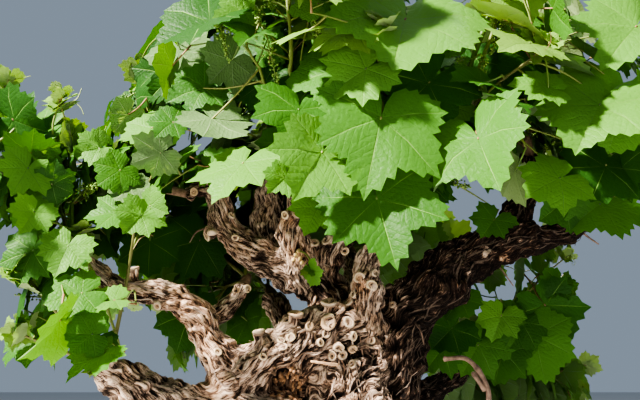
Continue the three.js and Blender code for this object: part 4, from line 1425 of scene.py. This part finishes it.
def piercing(starts, ends, centre, normal, reach):
    """Which of the lines go through a disc. The arrays may be lines by discs."""
    a = ((starts - centre) * normal).sum(-1)
    b = ((ends - centre) * normal).sum(-1)
    share = a / np.where(np.abs(a - b) < 1e-9, 1, a - b)
    gap = norm(starts + (ends - starts) * share[..., None] - centre, axis=-1)
    return (a * b <= 0) & (gap < reach)


# Places on a front leaf that nothing may cover, how its stalk is led, and the most leaves there may be.
SHOWN_SPOTS = np.array([(0, 0.1, 0), (0, 0.45, 0), (0, 0.8, 0), (-0.42, 0.3, 0), (0.42, 0.3, 0), (-0.3, 0, 0),
                        (0.3, 0, 0), (-0.22, 0.6, 0), (0.22, 0.6, 0)])
COVER_SHARE = 1.1
STALK_REACH = 62
STALK_LIMIT = 115
ROOM = 4000


class Canopy:
    """All the shoots' paths and the leaves that have been kept."""

    def __init__(self, plans, balls):
        self.balls = balls
        self.leaves = []
        self.shown = None
        self.middles, self.faces, self.reaches = np.zeros((ROOM, 3)), np.zeros((ROOM, 3)), np.zeros(ROOM)
        self.line_starts, self.line_ends = np.zeros((ROOM, 11, 3)), np.zeros((ROOM, 11, 3))
        through = np.column_stack([SKY_SPOTS[:, 0], np.zeros(len(SKY_SPOTS)), SKY_SPOTS[:, 1]])
        self.beyond = SEEN_FROM + 2.4 * (through - SEEN_FROM)
        self.starts, self.ends, self.owners = np.zeros((0, 3)), np.zeros((0, 3)), np.zeros(0, int)
        for own, plan in enumerate(plans):
            for path in [np.array([plan.tip, plan.top]), *plan.shoots]:
                self.add_path(path, own)

    def add_path(self, path, own):
        self.starts = np.concatenate([self.starts, path[:-1]])
        self.ends = np.concatenate([self.ends, path[1:]])
        self.owners = np.concatenate([self.owners, np.full(len(path) - 1, own)])

    def inside(self, points, own, slack):
        gaps = distances(points, self.starts, self.ends)
        mine = gaps[:, self.owners == own].min(1) - slack
        return bool((gaps[:, self.owners != own].min(1) > mine).all())

    def covers(self, leaf):
        """Whether a leaf would stand between the viewer and a leaf that shows on the near side."""
        return bool(piercing(SEEN_FROM, self.shown, leaf.middle, leaf.face, leaf.reach * COVER_SHARE).any())

    def closes_sky(self, leaf):
        """Whether a leaf would close one of the small windows of sky."""
        return bool(piercing(SEEN_FROM, self.beyond, leaf.middle, leaf.face,
                             leaf.reach + SKY_SPOTS[:, 2]).any())

    def crosses(self, leaf, apart):
        """Whether a leaf comes too near another, or goes through one or through a shoot."""
        gaps = norm(self.middles[:len(self.leaves)] - leaf.middle, axis=1)
        near = np.flatnonzero(gaps < 2.4 * LEAF_LENGTH)
        starts, ends = leaf.lines
        disc = leaf.middle, leaf.face, leaf.reach
        return bool((gaps < apart).any() or piercing(self.starts, self.ends, *disc).any()
                    or piercing(starts[:, None], ends[:, None], self.middles[near], self.faces[near],
                                self.reaches[near]).any()
                    or piercing(self.line_starts[near].reshape(-1, 3), self.line_ends[near].reshape(-1, 3),
                                *disc).any())

    def take(self, leaf, own, shoot, share):
        """Keeps a leaf of a shoot, at a share of its length."""
        leaf.own, leaf.shoot, leaf.share = own, shoot, share
        k = len(self.leaves)
        self.middles[k], self.faces[k], self.reaches[k] = leaf.middle, leaf.face, leaf.reach
        self.line_starts[k], self.line_ends[k] = leaf.lines
        self.leaves.append(leaf)

    def is_open(self, points, clearance, free=0):
        """Whether points hide neither old wood nor open sky, and all but the first few are clear of wood."""
        return (clear_of_wood(points[free:], self.balls, clearance) and not hides_wood(points)
                and not in_sky(points).any())

    def fits(self, leaf, apart):
        return (self.is_open(leaf.probes(), LIMB_CLEARANCE) and not self.covers(leaf)
                and not self.closes_sky(leaf) and not self.crosses(leaf, apart))


def drawn_shoots(plans):
    """Each shoot as it is drawn, after the numbers of its mass and its own."""
    return [(own, s, points) for own, plan in enumerate(plans) for s, points in enumerate(plan.drawn)]


class Twig:
    """A side shoot or twig of one shoot, with its radius at the foot and at the tip."""

    def __init__(self, points, own, shoot, foot=1.9, tip=1.1):
        self.points, self.own, self.shoot = points, own, shoot
        self.foot, self.tip = foot, tip


def grow_front_shoots(spots, owners, canopy):
    """The shoots that show on the near side, each from the nearest shoot below it."""
    made = []
    for path, foot, tip in FRONT_SHOOTS:
        path = np.array(path, float)
        first = path[0]
        over = np.maximum(0, spots[:, 2] - first[2] + 25)
        pick = int((norm(spots - first, axis=1) + 2 * over).argmin())
        own, s = owners[pick]
        points = smooth_path([spots[pick], *path], 22)
        canopy.add_path(points, own)
        made.append(Twig(points, own, s, foot, tip))
    return made


def set_leaf(row):
    """The end of a leaf's stalk and its tip, the way from one to the other, its face and its green."""
    *ends, turned, tint = row
    end, tip = np.array(ends, float).reshape(2, 3)
    along = unit(tip - end)
    face = unit(SEEN_FROM - end)
    face = turn(unit(face - along * (face @ along)), along, radians(turned))
    return end, tip, along, face, tint


def leaf_from(row, node, draws):
    """A leaf of FRONT_LEAVES, with its stalk from a node."""
    end, tip, along, face, tint = set_leaf(row)
    leaf = Leaf(node, end - node, face, norm(tip - end) / LEAF_LENGTH, draws.spread(0.08),
                draws.between(0, 0.10), along)
    leaf.tint = tint
    return leaf


def hang_front_leaves(plans, canopy):
    """The leaves that show on the near side, each with its stalk from the nearest shoot, the shoots that
    show there, and the twigs that carry the leaves which hang too far from one."""
    spots, owners = [], []
    for own, s, points in drawn_shoots(plans):
        run = run_along(points)
        marks = np.arange(12, run[-1], 12)
        spots.append(spots_at(marks, run, points))
        owners += [(own, s)] * len(marks)
    spots = np.concatenate(spots)
    own_count = len(spots)
    twigs = grow_front_shoots(spots, owners, canopy)
    for shoot in twigs:
        spots = np.concatenate([spots, shoot.points])
        owners += [(shoot.own, shoot.shoot)] * len(shoot.points)
    for row in FRONT_LEAVES:
        end, _, along, face, _ = set_leaf(row)
        draws = warmed(140009 + 7 * abs(int(end @ (3, 5, 7))))
        gaps = norm(spots - end, axis=1)
        ahead = np.maximum(0, (spots - end) @ along) + 0.4 * np.maximum(0, (spots - end) @ face)
        strain = np.abs(gaps - STALK_REACH) + 1.5 * ahead
        pick = int(strain.argmin())
        if gaps[pick] > STALK_LIMIT:
            pick = int(strain[:own_count].argmin())
        own, s = owners[pick]
        node = spots[pick]
        if gaps[pick] > STALK_LIMIT:
            hold = end - along * 28 - face * 20 + UP * 8 + draws.around(8)
            bend = (node + hold) / 2 + UP * 12 + draws.around(10)
            twigs.append(Twig(smooth_path([node, bend, hold], 9), own, s))
            node = hold
        canopy.take(leaf_from(row, node, draws), own, s, 0.5)
    shown = [leaf.place(SHOWN_SPOTS[:, 0], SHOWN_SPOTS[:, 1], SHOWN_SPOTS[:, 2]) for leaf in canopy.leaves]
    canopy.shown = np.concatenate(shown)
    return twigs


def leaf_size(share):
    return min(1, 0.76 + 1.4 * share) * (1 if share < 0.65 else 1 - 1.2 * (share - 0.65))


def facing_light(node, draws):
    face = node - HEART
    face[2] *= 0.25
    return unit(unit(face) + UP * 0.3 + draws.around(0.45, 0.45, 0.3))


def spot_on(points, place):
    """The place on a shoot at a step and a share of the next, and the shoot's way there."""
    step = int(place)
    way = points[step + 1] - points[step]
    return points[step] + way * (place - step), unit(way)


def try_leaf(points, sides, place, seed, which):
    draws = warmed(seed)
    step = int(place)
    node, along = spot_on(points, place)
    side = unit(sides[step] + (sides[step + 1] - sides[step]) * (place - step))
    out = turn(side, along, (which + 0.5) * 2 * pi / 3 + draws.spread(0.2))
    size = leaf_size(place / (len(points) - 1)) * (0.88 + 0.24 * draws.next())
    stalk = unit(out + along * (0.4 + draws.spread(0.4)))
    stalk = stalk * LEAF_LENGTH * size * (0.45 + 0.3 * draws.next())
    face = facing_light(node, draws)
    return Leaf(node, stalk, face, size, draws.spread(0.12), 0.02 + 0.16 * draws.next())


def plan_leaves(plans, canopy):
    """The main leaves, one at each node of each shoot where it fits, and the nodes themselves."""
    nodes = []
    for own, plan in enumerate(plans):
        for s, points in enumerate(plan.shoots):
            _, sides = frames_along(points)
            places = [step + share for step in range(len(points) - 1) for share in LEAF_PLACES]
            for i, place in enumerate(places):
                spot, along = spot_on(points, place)
                if int(place) >= len(plan.drawn[s]) - 1 or in_sky(spot[None]).any():
                    continue
                kept = None
                share = place / (len(points) - 1)
                for attempt in range(TRIES):
                    seed = 104729 * (own + 1) + 7919 * (s + 1) + 611 * i + 52711 * attempt
                    leaf = try_leaf(points, sides, place, seed, i + attempt)
                    if (canopy.inside(leaf.middle[None], own, 0) and canopy.fits(leaf, LEAF_APART)
                            and canopy.inside(leaf.probes(), own, EDGE_SLACK)):
                        kept = leaf
                        canopy.take(leaf, own, s, share)
                        break
                nodes.append(Node(own, s, share, i, kept, spot, along, sides[int(place)]))
    return nodes


def bowed(foot, way, bend, length, shares):
    """Points of a twig that leaves its foot along a way and bends off it."""
    return np.array([foot + (way * t + bend * t * t) * length for t in shares])


def grow_side_twigs(nodes, canopy):
    """Short side twigs from the foot of each main leaf, with smaller leaves, inside the crown's own box."""
    twigs = []
    for k, node in enumerate(nodes * SIDE_TWIGS):
        draws = warmed(30011 + 1009 * k)
        out = turn(node.side, node.along, draws.between(0, 2 * pi))
        if node.leaf is not None and k < len(nodes):
            stalk = node.leaf.end - node.leaf.node
            out = unit(unit(np.cross(stalk, node.along)) * draws.spread(1) + unit(stalk) * 0.4)
        way = unit(out + node.along * draws.between(0.3, 0.8) + UP * 0.15)
        length = draws.between(*SIDE_TWIG_LENGTH)
        bend = draws.around(0.25)
        points = bowed(node.spot, way, bend, length, (0, 0.25, 0.5, 0.75, 1.0))
        if (not canopy.is_open(points, SIDE_TWIG_CLEARANCE, 1)
                or ((points < CROWN_LOW + 8) | (points > CROWN_HIGH - 8)).any()):
            continue
        grown = []
        start = draws.between(*ANY_ANGLE)
        for i, spot in enumerate(bowed(node.spot, way, bend, length, SIDE_LEAF_PLACES)):
            for attempt in range(SIDE_TRIES):
                side = turn(square_to(way), way, start + i * pi + draws.spread(0.6) + attempt)
                size = draws.between(0.5, 0.78) * (1, 0.88, 0.7)[i]
                stalk = unit(side + way * draws.between(0.2, 0.8)) * LEAF_LENGTH * size
                stalk = stalk * draws.between(0.4, 0.65)
                face = unit(facing_light(spot, draws) + draws.around(SIDE_LEAF_SPREAD))
                leaf = Leaf(spot, stalk, face, size, draws.spread(0.14), draws.between(0.02, 0.2))
                probes = leaf.probes()
                inside = ((probes > CROWN_LOW) & (probes < CROWN_HIGH)).all()
                if inside and canopy.fits(leaf, SIDE_LEAF_APART):
                    canopy.take(leaf, node.own, node.shoot, node.share)
                    grown.append(i)
                    break
        if grown:
            shares = np.linspace(0, SIDE_LEAF_PLACES[grown[-1]], 6)
            twigs.append(Twig(bowed(node.spot, way, bend, length, shares), node.own, node.shoot))
    return twigs


# A leaf's lobes and gulfs on one side, as angles from its tip and lengths. The tip of each lobe carries a
# main vein, and the teeth stand between.
LOBES = np.array([
    (0, 1.00), (12, 0.89), (28, 0.73), (40, 0.83), (52, 0.91), (66, 0.81), (79, 0.69), (93, 0.77),
    (107, 0.83), (121, 0.74), (137, 0.66), (150, 0.63), (161, 0.56), (168, 0.46),
])
LARGE_TEETH, SMALL_TEETH = 5, 3
VEIN_ANGLES = (0, 52, 107)
RING_ANGLES = (-146, -107, -80, -52, -28, 0, 28, 52, 80, 107, 146)
SIDE_VEIN_GAP = 0.115
MAIN_VEIN_WIDTH, SIDE_VEIN_WIDTH = 0.022, 0.013
VEIN_SLOPE = 0.85
VEIN_WARP = 0.16


def toothed(teeth, depth):
    """One side of a leaf's outline, with so many teeth before each lobe's tip and after the last."""
    half = [(0, 1.0)]
    for start, end in ((0, 52), (52, 107), (107, 168)):
        for i in range(teeth):
            for share, side in ((0.42, -1), (1.0, 1)):
                angle = start + (end - start) * (i + share) / teeth
                half.append((angle, np.interp(angle, *LOBES.T) * (1 + side * depth)))
    return half + [(174, 0.26), (180, 0.05)]


class LeafPattern:
    """A flat leaf of length 1 from the end of its stalk to its tip, as two faces that share their rim."""

    def __init__(self, half, vein_width):
        angles, lengths = np.array(([(-a, r) for a, r in half[:0:-1]] + half)[1:], float).T
        self.rim_count = len(angles)
        ring = []
        for a in RING_ANGLES:
            length = np.interp(a, angles, lengths)
            if abs(a) in VEIN_ANGLES:
                width = degrees(vein_width / (0.5 * length))
                ring += [(a - width, 0.5 * length, 1), (a + width, 0.5 * length, 1)]
            else:
                ring.append((a, 0.52 * length, 0))
        ring_angles, ring_lengths, on_vein = np.array(ring).T
        count = len(ring)
        self.angles = np.concatenate([angles, ring_angles, [0], ring_angles, [0]])
        self.lengths = np.concatenate([lengths, ring_lengths, [0.02], ring_lengths, [0.02]])
        on_rim = np.zeros(self.rim_count)
        self.between = np.concatenate([on_rim, 1 - on_vein, [0], 1 - on_vein, [0]])
        self.vein = np.concatenate([on_rim, on_vein, [1], on_vein, [1]])
        self.layer = np.concatenate([on_rim, np.ones(count + 1), -np.ones(count + 1)])
        last, hub = self.rim_count - 1, self.rim_count + count
        spots = self.rim_count + np.arange(count)
        rows = [(hub, spots[k + 1], spots[k], on_vein[k] * on_vein[k + 1]) for k in range(count - 1)]
        rows += [(hub, spots[0], last, 0), (hub, last, spots[-1], 0)]
        rim = [last, *range(last), last]
        i = j = 0
        for _, on_ring in sorted([(a, 0) for a in (*angles[:-1], 180)] + [(a, 1) for a in ring_angles[1:]]):
            if on_ring:
                rows.append((spots[j], spots[j + 1], rim[i], on_vein[j] * on_vein[j + 1]))
                j += 1
            else:
                rows.append((spots[j], rim[i + 1], rim[i], 0))
                i += 1
        upper = [row[:3] for row in rows]
        under = [[corner + count + 1 if corner > last else corner for corner in row[::-1]] for row in upper]
        self.faces = as_faces(upper + under)
        veins = np.array([row[3] for row in rows], int)
        self.kinds = np.concatenate([veins, veins + 2])
        self.rim = np.arange(len(self.angles)) < self.rim_count

    def shape(self, leaf, draws):
        """The leaf's points, folded, puckered and curled in its own way."""
        turn_angle = np.radians(self.angles)
        wave = draws.between(*ANY_ANGLE)
        uneven = 1 + 0.05 * np.sin(2 * turn_angle + wave) + 0.04 * np.sin(5 * turn_angle + 2 * wave)
        worn = np.array([draws.spread(0.022) for _ in range(self.rim_count)])
        lengths = self.lengths ** draws.between(0.75, 1.25) * uneven * 1.02
        lengths[:self.rim_count] *= 1 + worn
        ways = np.sin(turn_angle), np.cos(turn_angle)
        x, y = lengths * ways[0], lengths * ways[1]
        fold = draws.between(0.02, 0.42)
        ripple = draws.between(0.025, 0.065)
        curl = draws.between(0.04, 0.26)
        z = leaf.cup * np.minimum(1, np.abs(x) / 0.6) - leaf.droop * np.maximum(0, y) ** 2
        z = z + fold * np.abs(x) * (1 - 0.5 * np.abs(x)) + 0.035 * self.between - 0.010 * self.vein
        z = z + ripple * np.sin(4 * turn_angle + wave) * lengths ** 2
        z = z - curl * np.maximum(0, lengths - 0.45) ** 2 * 1.6 + draws.spread(0.10) * x * y
        z = z + self.layer * 0.0045
        flat = np.stack([self.lengths * ways[0], self.lengths * ways[1], np.zeros(len(x))], axis=1)
        return leaf.place(x, y, z), flat


def leaf_finishes():
    """Five greens for upper faces, pale veins, the woolly undersides of old and young leaves, and their
    veins."""
    tops = [leaf_finish(name, colour, through, 0.47, 0.36, 1.5) for name, colour, through in (
        ("deep green leaf", (0.032, 0.096, 0.019), (0.20, 0.46, 0.02)),
        ("middle green leaf", (0.054, 0.146, 0.027), (0.30, 0.60, 0.03)),
        ("fresh green leaf", (0.083, 0.208, 0.038), (0.41, 0.72, 0.035)),
        ("light green leaf", (0.132, 0.288, 0.058), (0.51, 0.80, 0.05)),
        ("young leaf", (0.205, 0.345, 0.080), (0.58, 0.78, 0.08)),
    )]
    return tops + [leaf_finish(*row) for row in (
        ("leaf vein", (0.185, 0.325, 0.080), (0.42, 0.62, 0.09), 0.55, 0.3, 0.8),
        ("leaf underside", (0.175, 0.270, 0.118), (0.42, 0.64, 0.06), 0.85, 0.40, 1.6, True),
        ("young underside", (0.31, 0.40, 0.20), (0.57, 0.72, 0.16), 0.85, 0.38, 1.4, True),
        ("underside vein", (0.34, 0.42, 0.24), (0.48, 0.64, 0.14), 0.85, 0.3, 0.8, True),
    )]


def leaf_tint(leaf):
    """Which green a leaf has: by its spray, and lighter towards a shoot's tip."""
    if leaf.tint is not None:
        return leaf.tint
    spray = warmed(50021 + 131 * leaf.own + 17 * leaf.shoot)
    tint = (0, 1, 1, 2, 0, 1, 0, 2)[int(spray.between(0, 7.999))]
    if leaf.share > 0.9:
        return 4
    return tint + 1 if leaf.share > 0.72 else tint


def make_leaves(leaves):
    """The leaves in joined pieces: full-grown ones, and smaller ones of fewer faces on either side."""
    large = LeafPattern(toothed(LARGE_TEETH, 0.045), 0.007)
    small = LeafPattern(toothed(SMALL_TEETH, 0.055), 0.008)
    heaps = {"large_leaves": Heap(), "small_left_leaves": Heap(), "small_right_leaves": Heap()}
    for number, leaf in enumerate(leaves):
        draws = warmed(80021 + 37 * number)
        name, pattern = "large_leaves", large
        if leaf.size <= 0.8:
            name, pattern = "small_left_leaves" if leaf.end[0] < 0 else "small_right_leaves", small
        tint = leaf_tint(leaf)
        kinds = np.array([tint, 5, 7 if tint == 4 else 6, 8])[pattern.kinds]
        points, flat = pattern.shape(leaf, draws)
        heaps[name].add(points, pattern.faces, kinds, pattern.rim, flat)
    finishes = leaf_finishes()
    return [heap.build(name, finishes) for name, heap in heaps.items()]


def make_petioles(leaves):
    heap = Heap()
    for number, leaf in enumerate(leaves):
        draws = warmed(90011 + 53 * number)
        stalk = leaf.end - leaf.node
        sag = -UP * 0.06 * norm(stalk) + draws.around(0.03) * norm(stalk)
        points = [leaf.node + stalk * t + sag * 4 * t * (1 - t) for t in (-0.02, 0.3, 0.62, 0.9, 1.0)]
        points.append(leaf.end + leaf.along * 3 * leaf.size)
        width = 1.0 + 0.9 * leaf.size
        heap.rod(points, width * np.array([1.35, 1.0, 0.9, 0.9, 1.0, 0.5]), 5, int(draws.between(0, 2.999)))
    return heap.build("leaf_stalks", [plain_finish(*row) for row in (
        ("green stalk", (0.14, 0.22, 0.05), 0.5),
        ("yellow-green stalk", (0.27, 0.28, 0.085), 0.5),
        ("reddish stalk", (0.26, 0.15, 0.07), 0.5),
    )])


def rounded(points):
    """A shoot's path with its bends rounded, and its nodes on straight stretches between them."""
    spots = [points[0]]
    for i in range(1, len(points) - 1):
        before, at, after = points[i - 1:i + 2]
        a, b = at + (before - at) * 0.15, at + (after - at) * 0.22
        for t in (0, 0.35, 0.7, 1.0):
            spots.append((1 - t) ** 2 * a + 2 * t * (1 - t) * at + t * t * b)
    spots.append(points[-1])
    return np.array(spots)


def make_shoots(plans, nodes, twigs):
    """The green shoots, swollen at their nodes, and the side twigs."""
    heap = Heap()
    for own, s, points in drawn_shoots(plans):
        path = rounded(points)
        run = run_along(path)
        total = run[-1]
        knots = []
        for spot in [node.spot for node in nodes if (node.own, node.shoot) == (own, s)]:
            mark = distances(spot[None], path[:-1], path[1:])[0].argmin()
            knots.append(run[mark] + norm(spot - path[mark]))
        stations = sorted({0.0, total, *run, *[min(total, max(0, k + d)) for k in knots
                                               for d in (-9, -3.5, 0, 4, 10)]})
        stations = np.array([v for i, v in enumerate(stations) if i == 0 or v - stations[i - 1] > 0.5])
        swell = sum((np.exp(-((stations - k) / 4.5) ** 2) for k in knots), np.zeros(len(stations)))
        radii = np.interp(stations, (0, 0.75 * total, total), (3.7, 2.3, 1.4)) * (1 + 0.34 * swell)
        spray = warmed(60013 + 131 * own + 17 * s)
        heap.rod(spots_at(stations, run, path), radii, 8, int(spray.between(0, 2.999)))
    for twig in twigs:
        run = np.linspace(0, path_length(twig.points), len(twig.points))
        swell = 0.25 * np.exp(-(((run % 70) - 35) / 7) ** 2)
        radii = np.linspace(twig.foot, twig.tip, len(run)) * (1 + swell)
        # The two thick front shoots take the dark green shoot finish, partly as painted shade.
        heap.rod(twig.points, radii, 5 if twig.foot < 2 else 9, 1 if twig.foot < 4 else 0)
    heap.rod(smooth_path(SPROUT_STEM, 12), np.linspace(2.4, 1.4, 12), 8, 1)
    return heap.build("green_shoots", [plain_finish(*row) for row in (
        ("green shoot", (0.080, 0.140, 0.025), 0.5),
        ("yellow-green shoot", (0.165, 0.210, 0.048), 0.5),
        ("ripening shoot", (0.150, 0.150, 0.045), 0.55),
    )])


def make_spurs(plans, finish):
    """The short woody spur between each bough's tip and its shoots."""
    heap = Heap()
    for plan in plans:
        points = [plan.tip + plan.stem_way * d for d in (-14, 0, 14, 28, 42, STEM_LENGTH + 3)]
        foot = plan.foot
        heap.rod(points, [foot * 1.05, foot, foot * 0.86 + 1, foot * 0.6 + 4, 10.5, 8.5], 12)
    return heap.build("spurs", [finish])


BEAD_POINTS = np.array([(0, 0, 1), (0.894, 0, 0.447), (0.276, 0.851, 0.447), (-0.724, 0.526, 0.447),
                        (-0.724, -0.526, 0.447), (0.276, -0.851, 0.447), (0.724, 0.526, -0.447),
                        (-0.276, 0.851, -0.447), (-0.894, 0, -0.447), (-0.276, -0.851, -0.447),
                        (0.724, -0.526, -0.447), (0, 0, -1)])
BEAD_FACES = as_faces([
    (0, 1, 2), (0, 2, 3), (0, 3, 4), (0, 4, 5), (0, 5, 1), (1, 6, 2), (2, 7, 3), (3, 8, 4), (4, 9, 5),
    (5, 10, 1), (6, 7, 2), (7, 8, 3), (8, 9, 4), (9, 10, 5), (10, 6, 1), (11, 7, 6), (11, 8, 7), (11, 9, 8),
    (11, 10, 9), (11, 6, 10),
])


def hang_cluster(heap, stem, width, draws):
    """A loose bunch of buds round the lower part of its stem."""
    heap.rod(stem, np.linspace(1.6, 0.9, len(stem)), 5, 0)
    run = np.linspace(0, 1, len(stem))
    for i in range(BUDS):
        share = 0.22 + 0.78 * (i / (BUDS - 1))
        axis = np.array([np.interp(share, run, stem[:, k]) for k in range(3)])
        fullness = sin(pi * min(1, 1.41 - 1.39 * share) * 0.62) * width + 2.5
        spot = axis + unit(draws.around(1) + 1e-6) * fullness * draws.between(0.45, 1)
        heap.add(spot + BEAD_POINTS * draws.between(1.5, 2.5), BEAD_FACES, finish=1 + (i % 2))
        if i % 3 == 0:
            heap.rod([axis, (axis + spot) / 2 + UP * 0.6, spot], [0.7, 0.6, 0.5], 3, 0)


def make_clusters(nodes, canopy):
    """Young green bunches opposite the lower leaves, before the berries have swollen."""
    heap = Heap()
    for k, node in enumerate(nodes):
        if node.number not in (1, 2) or (k % 3 == 0):
            continue
        draws = warmed(70001 + 271 * k)
        out = turn(node.side, node.along, draws.between(0, 2 * pi))
        length = draws.between(62, 105)
        way = unit(out * 0.75 + node.along * 0.5 - UP * draws.between(-0.3, 0.7))
        bend = -UP * draws.between(0.1, 0.4)
        stem = bowed(node.spot, way, bend, length, np.linspace(0, 1.25, 8))
        if canopy.is_open(stem, 10, 2):
            hang_cluster(heap, stem, 15, draws)
    for number, (path, width) in enumerate(FRONT_CLUSTERS):
        draws = warmed(160001 + 733 * number)
        hang_cluster(heap, smooth_path(path, 12), width, draws)
    return heap.build("green_clusters", [plain_finish(*row) for row in (
        ("cluster stalk", (0.18, 0.25, 0.07), 0.6),
        ("green bud", (0.095, 0.185, 0.032), 0.5),
        ("light bud", (0.21, 0.32, 0.065), 0.5),
    )])


def make_tendrils(nodes, canopy):
    """Thin forked tendrils that curl at their ends."""
    heap = Heap()
    for k, node in enumerate(nodes):
        if node.share < 0.35 or k % 2:
            continue
        draws = warmed(110017 + 331 * k)
        out = turn(node.side, node.along, draws.between(0, 2 * pi))
        way = unit(out + node.along * draws.between(0.4, 1.0) + UP * draws.between(0, 0.4))
        for fork in range(2):
            side = turn(square_to(way), way, draws.between(*ANY_ANGLE))
            length = draws.between(70, 130)
            loops = draws.between(0.5, 1.6)
            curl = draws.between(7, 14)
            t = np.linspace(0, 1, 15)[:, None]
            swing = loops * 2 * pi * np.maximum(0, t - 0.35) ** 1.3
            reach = curl * np.minimum(1, 2.2 * np.maximum(0, t - 0.3))
            spots = (node.spot + way * length * (t - 0.25 * t * t)
                     + side * length * 0.28 * t * t * (1 if fork else -0.3)
                     + (side * np.cos(swing) + np.cross(way, side) * np.sin(swing)) * reach - side * reach)
            if ((spots >= CROWN_LOW) & (spots <= CROWN_HIGH)).all() and canopy.is_open(spots, 4, 1):
                heap.rod(spots, np.linspace(0.95, 0.45, 15), 4, int(draws.between(0, 1.6)))
    for path in FRONT_TENDRILS:
        heap.rod(smooth_path(path, 24), np.linspace(1.1, 0.55, 24), 5)
    return heap.build("tendrils", [plain_finish(*row) for row in (
        ("green tendril", (0.22, 0.28, 0.09), 0.5),
        ("dry tendril", (0.30, 0.19, 0.11), 0.7),
    )])


def tip_leaves(plans, twigs):
    """The small folded leaves round each shoot's growing tip, and the sprout's."""
    made = []
    tips = drawn_shoots(plans) + [(twig.own, twig.shoot, twig.points) for twig in twigs if twig.foot > 2]
    for number, (own, s, points) in enumerate(tips):
        draws = warmed(130021 + 131 * own + 17 * s + 1013 * number)
        way = unit(points[-1] - points[-2])
        for i in range(4):
            side = turn(square_to(way), way, draws.between(*ANY_ANGLE))
            spot = points[-1] + way * (-30 + 9 * i)
            size = (0.34, 0.28, 0.22, 0.17)[i] * draws.between(0.8, 1.2)
            stalk = unit(side + way * (0.5 + 0.4 * i)) * LEAF_LENGTH * size * 0.5
            face = unit(-side * 0.6 + way * 0.5 + UP * 0.4 + draws.around(0.3))
            leaf = Leaf(spot, stalk, face, size, draws.between(0.1, 0.3), -0.1)
            leaf.own, leaf.shoot, leaf.share = own, s, 1.0
            made.append(leaf)
    draws = Draws(150001)
    return made + [leaf_from(row, np.array(SPROUT_STEM[-1], float), draws) for row in SPROUT_LEAVES]


# The stage: a pale floor, soft light and the camera.

def make_stage():
    bm = bmesh.new()
    bmesh.ops.create_grid(bm, x_segments=1, y_segments=1, size=30)
    mesh = bpy.data.meshes.new("floor")
    bm.to_mesh(mesh)
    bm.free()
    mesh.materials.append(plain_finish("pale floor", (0.62, 0.61, 0.59), 0.9))
    floor = shown("floor", mesh)

    lights = [
        ("key light", (-2.6, -2.2, 3.3), 0.22, 860, (1.0, 0.95, 0.87)),
        ("sky light", (0.0, 0.9, 3.8), 2.4, 50, (0.95, 0.97, 1.0)),
        ("side light", (2.8, -1.2, 1.4), 2.0, 8, (0.90, 0.95, 1.0)),
        ("back light", (1.0, 3.0, 2.6), 1.4, 110, (1.0, 0.98, 0.92)),
    ]
    for name, place, size, power, colour in lights:
        light = bpy.data.lights.new(name, "AREA")
        light.size = size
        light.energy = power
        light.color = colour
        lamp = shown(name, light)
        lamp.location = place
        lamp.rotation_euler = (Vector((0, 0, 0.6)) - Vector(place)).to_track_quat("-Z", "Y").to_euler()

    world = bpy.data.worlds.new("studio")
    world.use_nodes = True
    background = world.node_tree.nodes["Background"]
    background.inputs["Color"].default_value = (0.68, 0.82, 1.0, 1)
    background.inputs["Strength"].default_value = 0.31
    bpy.context.scene.world = world
    bpy.context.scene.view_settings.look = "AgX - High Contrast"

    lens = bpy.data.cameras.new("camera")
    lens.sensor_width = 36
    lens.lens = FOCAL_LENGTH
    lens.clip_start = 0.05
    lens.clip_end = 100
    camera = shown("camera", lens)
    camera.location = SEEN_FROM * MM
    camera.rotation_euler = (radians(90 + SEEN_UPWARD), 0, 0)
    bpy.context.scene.camera = camera


def keep(piece, slot, *nodes):
    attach(piece, "root")
    if nodes:
        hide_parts(*nodes)


courses = [Course(name, number) for number, name in enumerate(["trunk", *LIMBS])]
bark_pieces, cuts, wood_tree = make_bark(courses, bark_finish())
for name, piece in bark_pieces.items():
    keep(piece, "bark", *BARK_PIECES[name])
cane_finish = mottled_finish("dry cane", (0.070, 0.040, 0.029), (0.27, 0.178, 0.130), 12, 0.75, 0.6)
for piece in (make_cut_faces(cuts), make_shreds(courses, wood_tree), make_burr_knots(wood_tree)):
    keep(piece, "bark")
keep(make_dead_cane(cane_finish), "dry_cane", "dead_cane")
keep(make_dry_twigs(cane_finish), "dry_cane")

balls = wood_balls()
plans = []
for own, mass in enumerate(MASSES.values()):
    plans.append(plan_shoots(own, mass, balls, plans))
canopy = Canopy(plans, balls)
twigs = hang_front_leaves(plans, canopy)
nodes = plan_leaves(plans, canopy)
twigs += grow_side_twigs(nodes, canopy)
every_leaf = canopy.leaves + tip_leaves(plans, twigs)
for piece in make_leaves(every_leaf):
    keep(piece, "foliage", *MASSES)
for piece in (make_petioles(every_leaf), make_shoots(plans, nodes, twigs), make_clusters(nodes, canopy),
              make_tendrils(nodes, canopy)):
    keep(piece, "foliage")
spur_finish = mottled_finish("spur bark", (0.12, 0.07, 0.042), (0.34, 0.225, 0.15), 8, 0.85)
keep(make_spurs(plans, spur_finish), "bark")
make_stage()
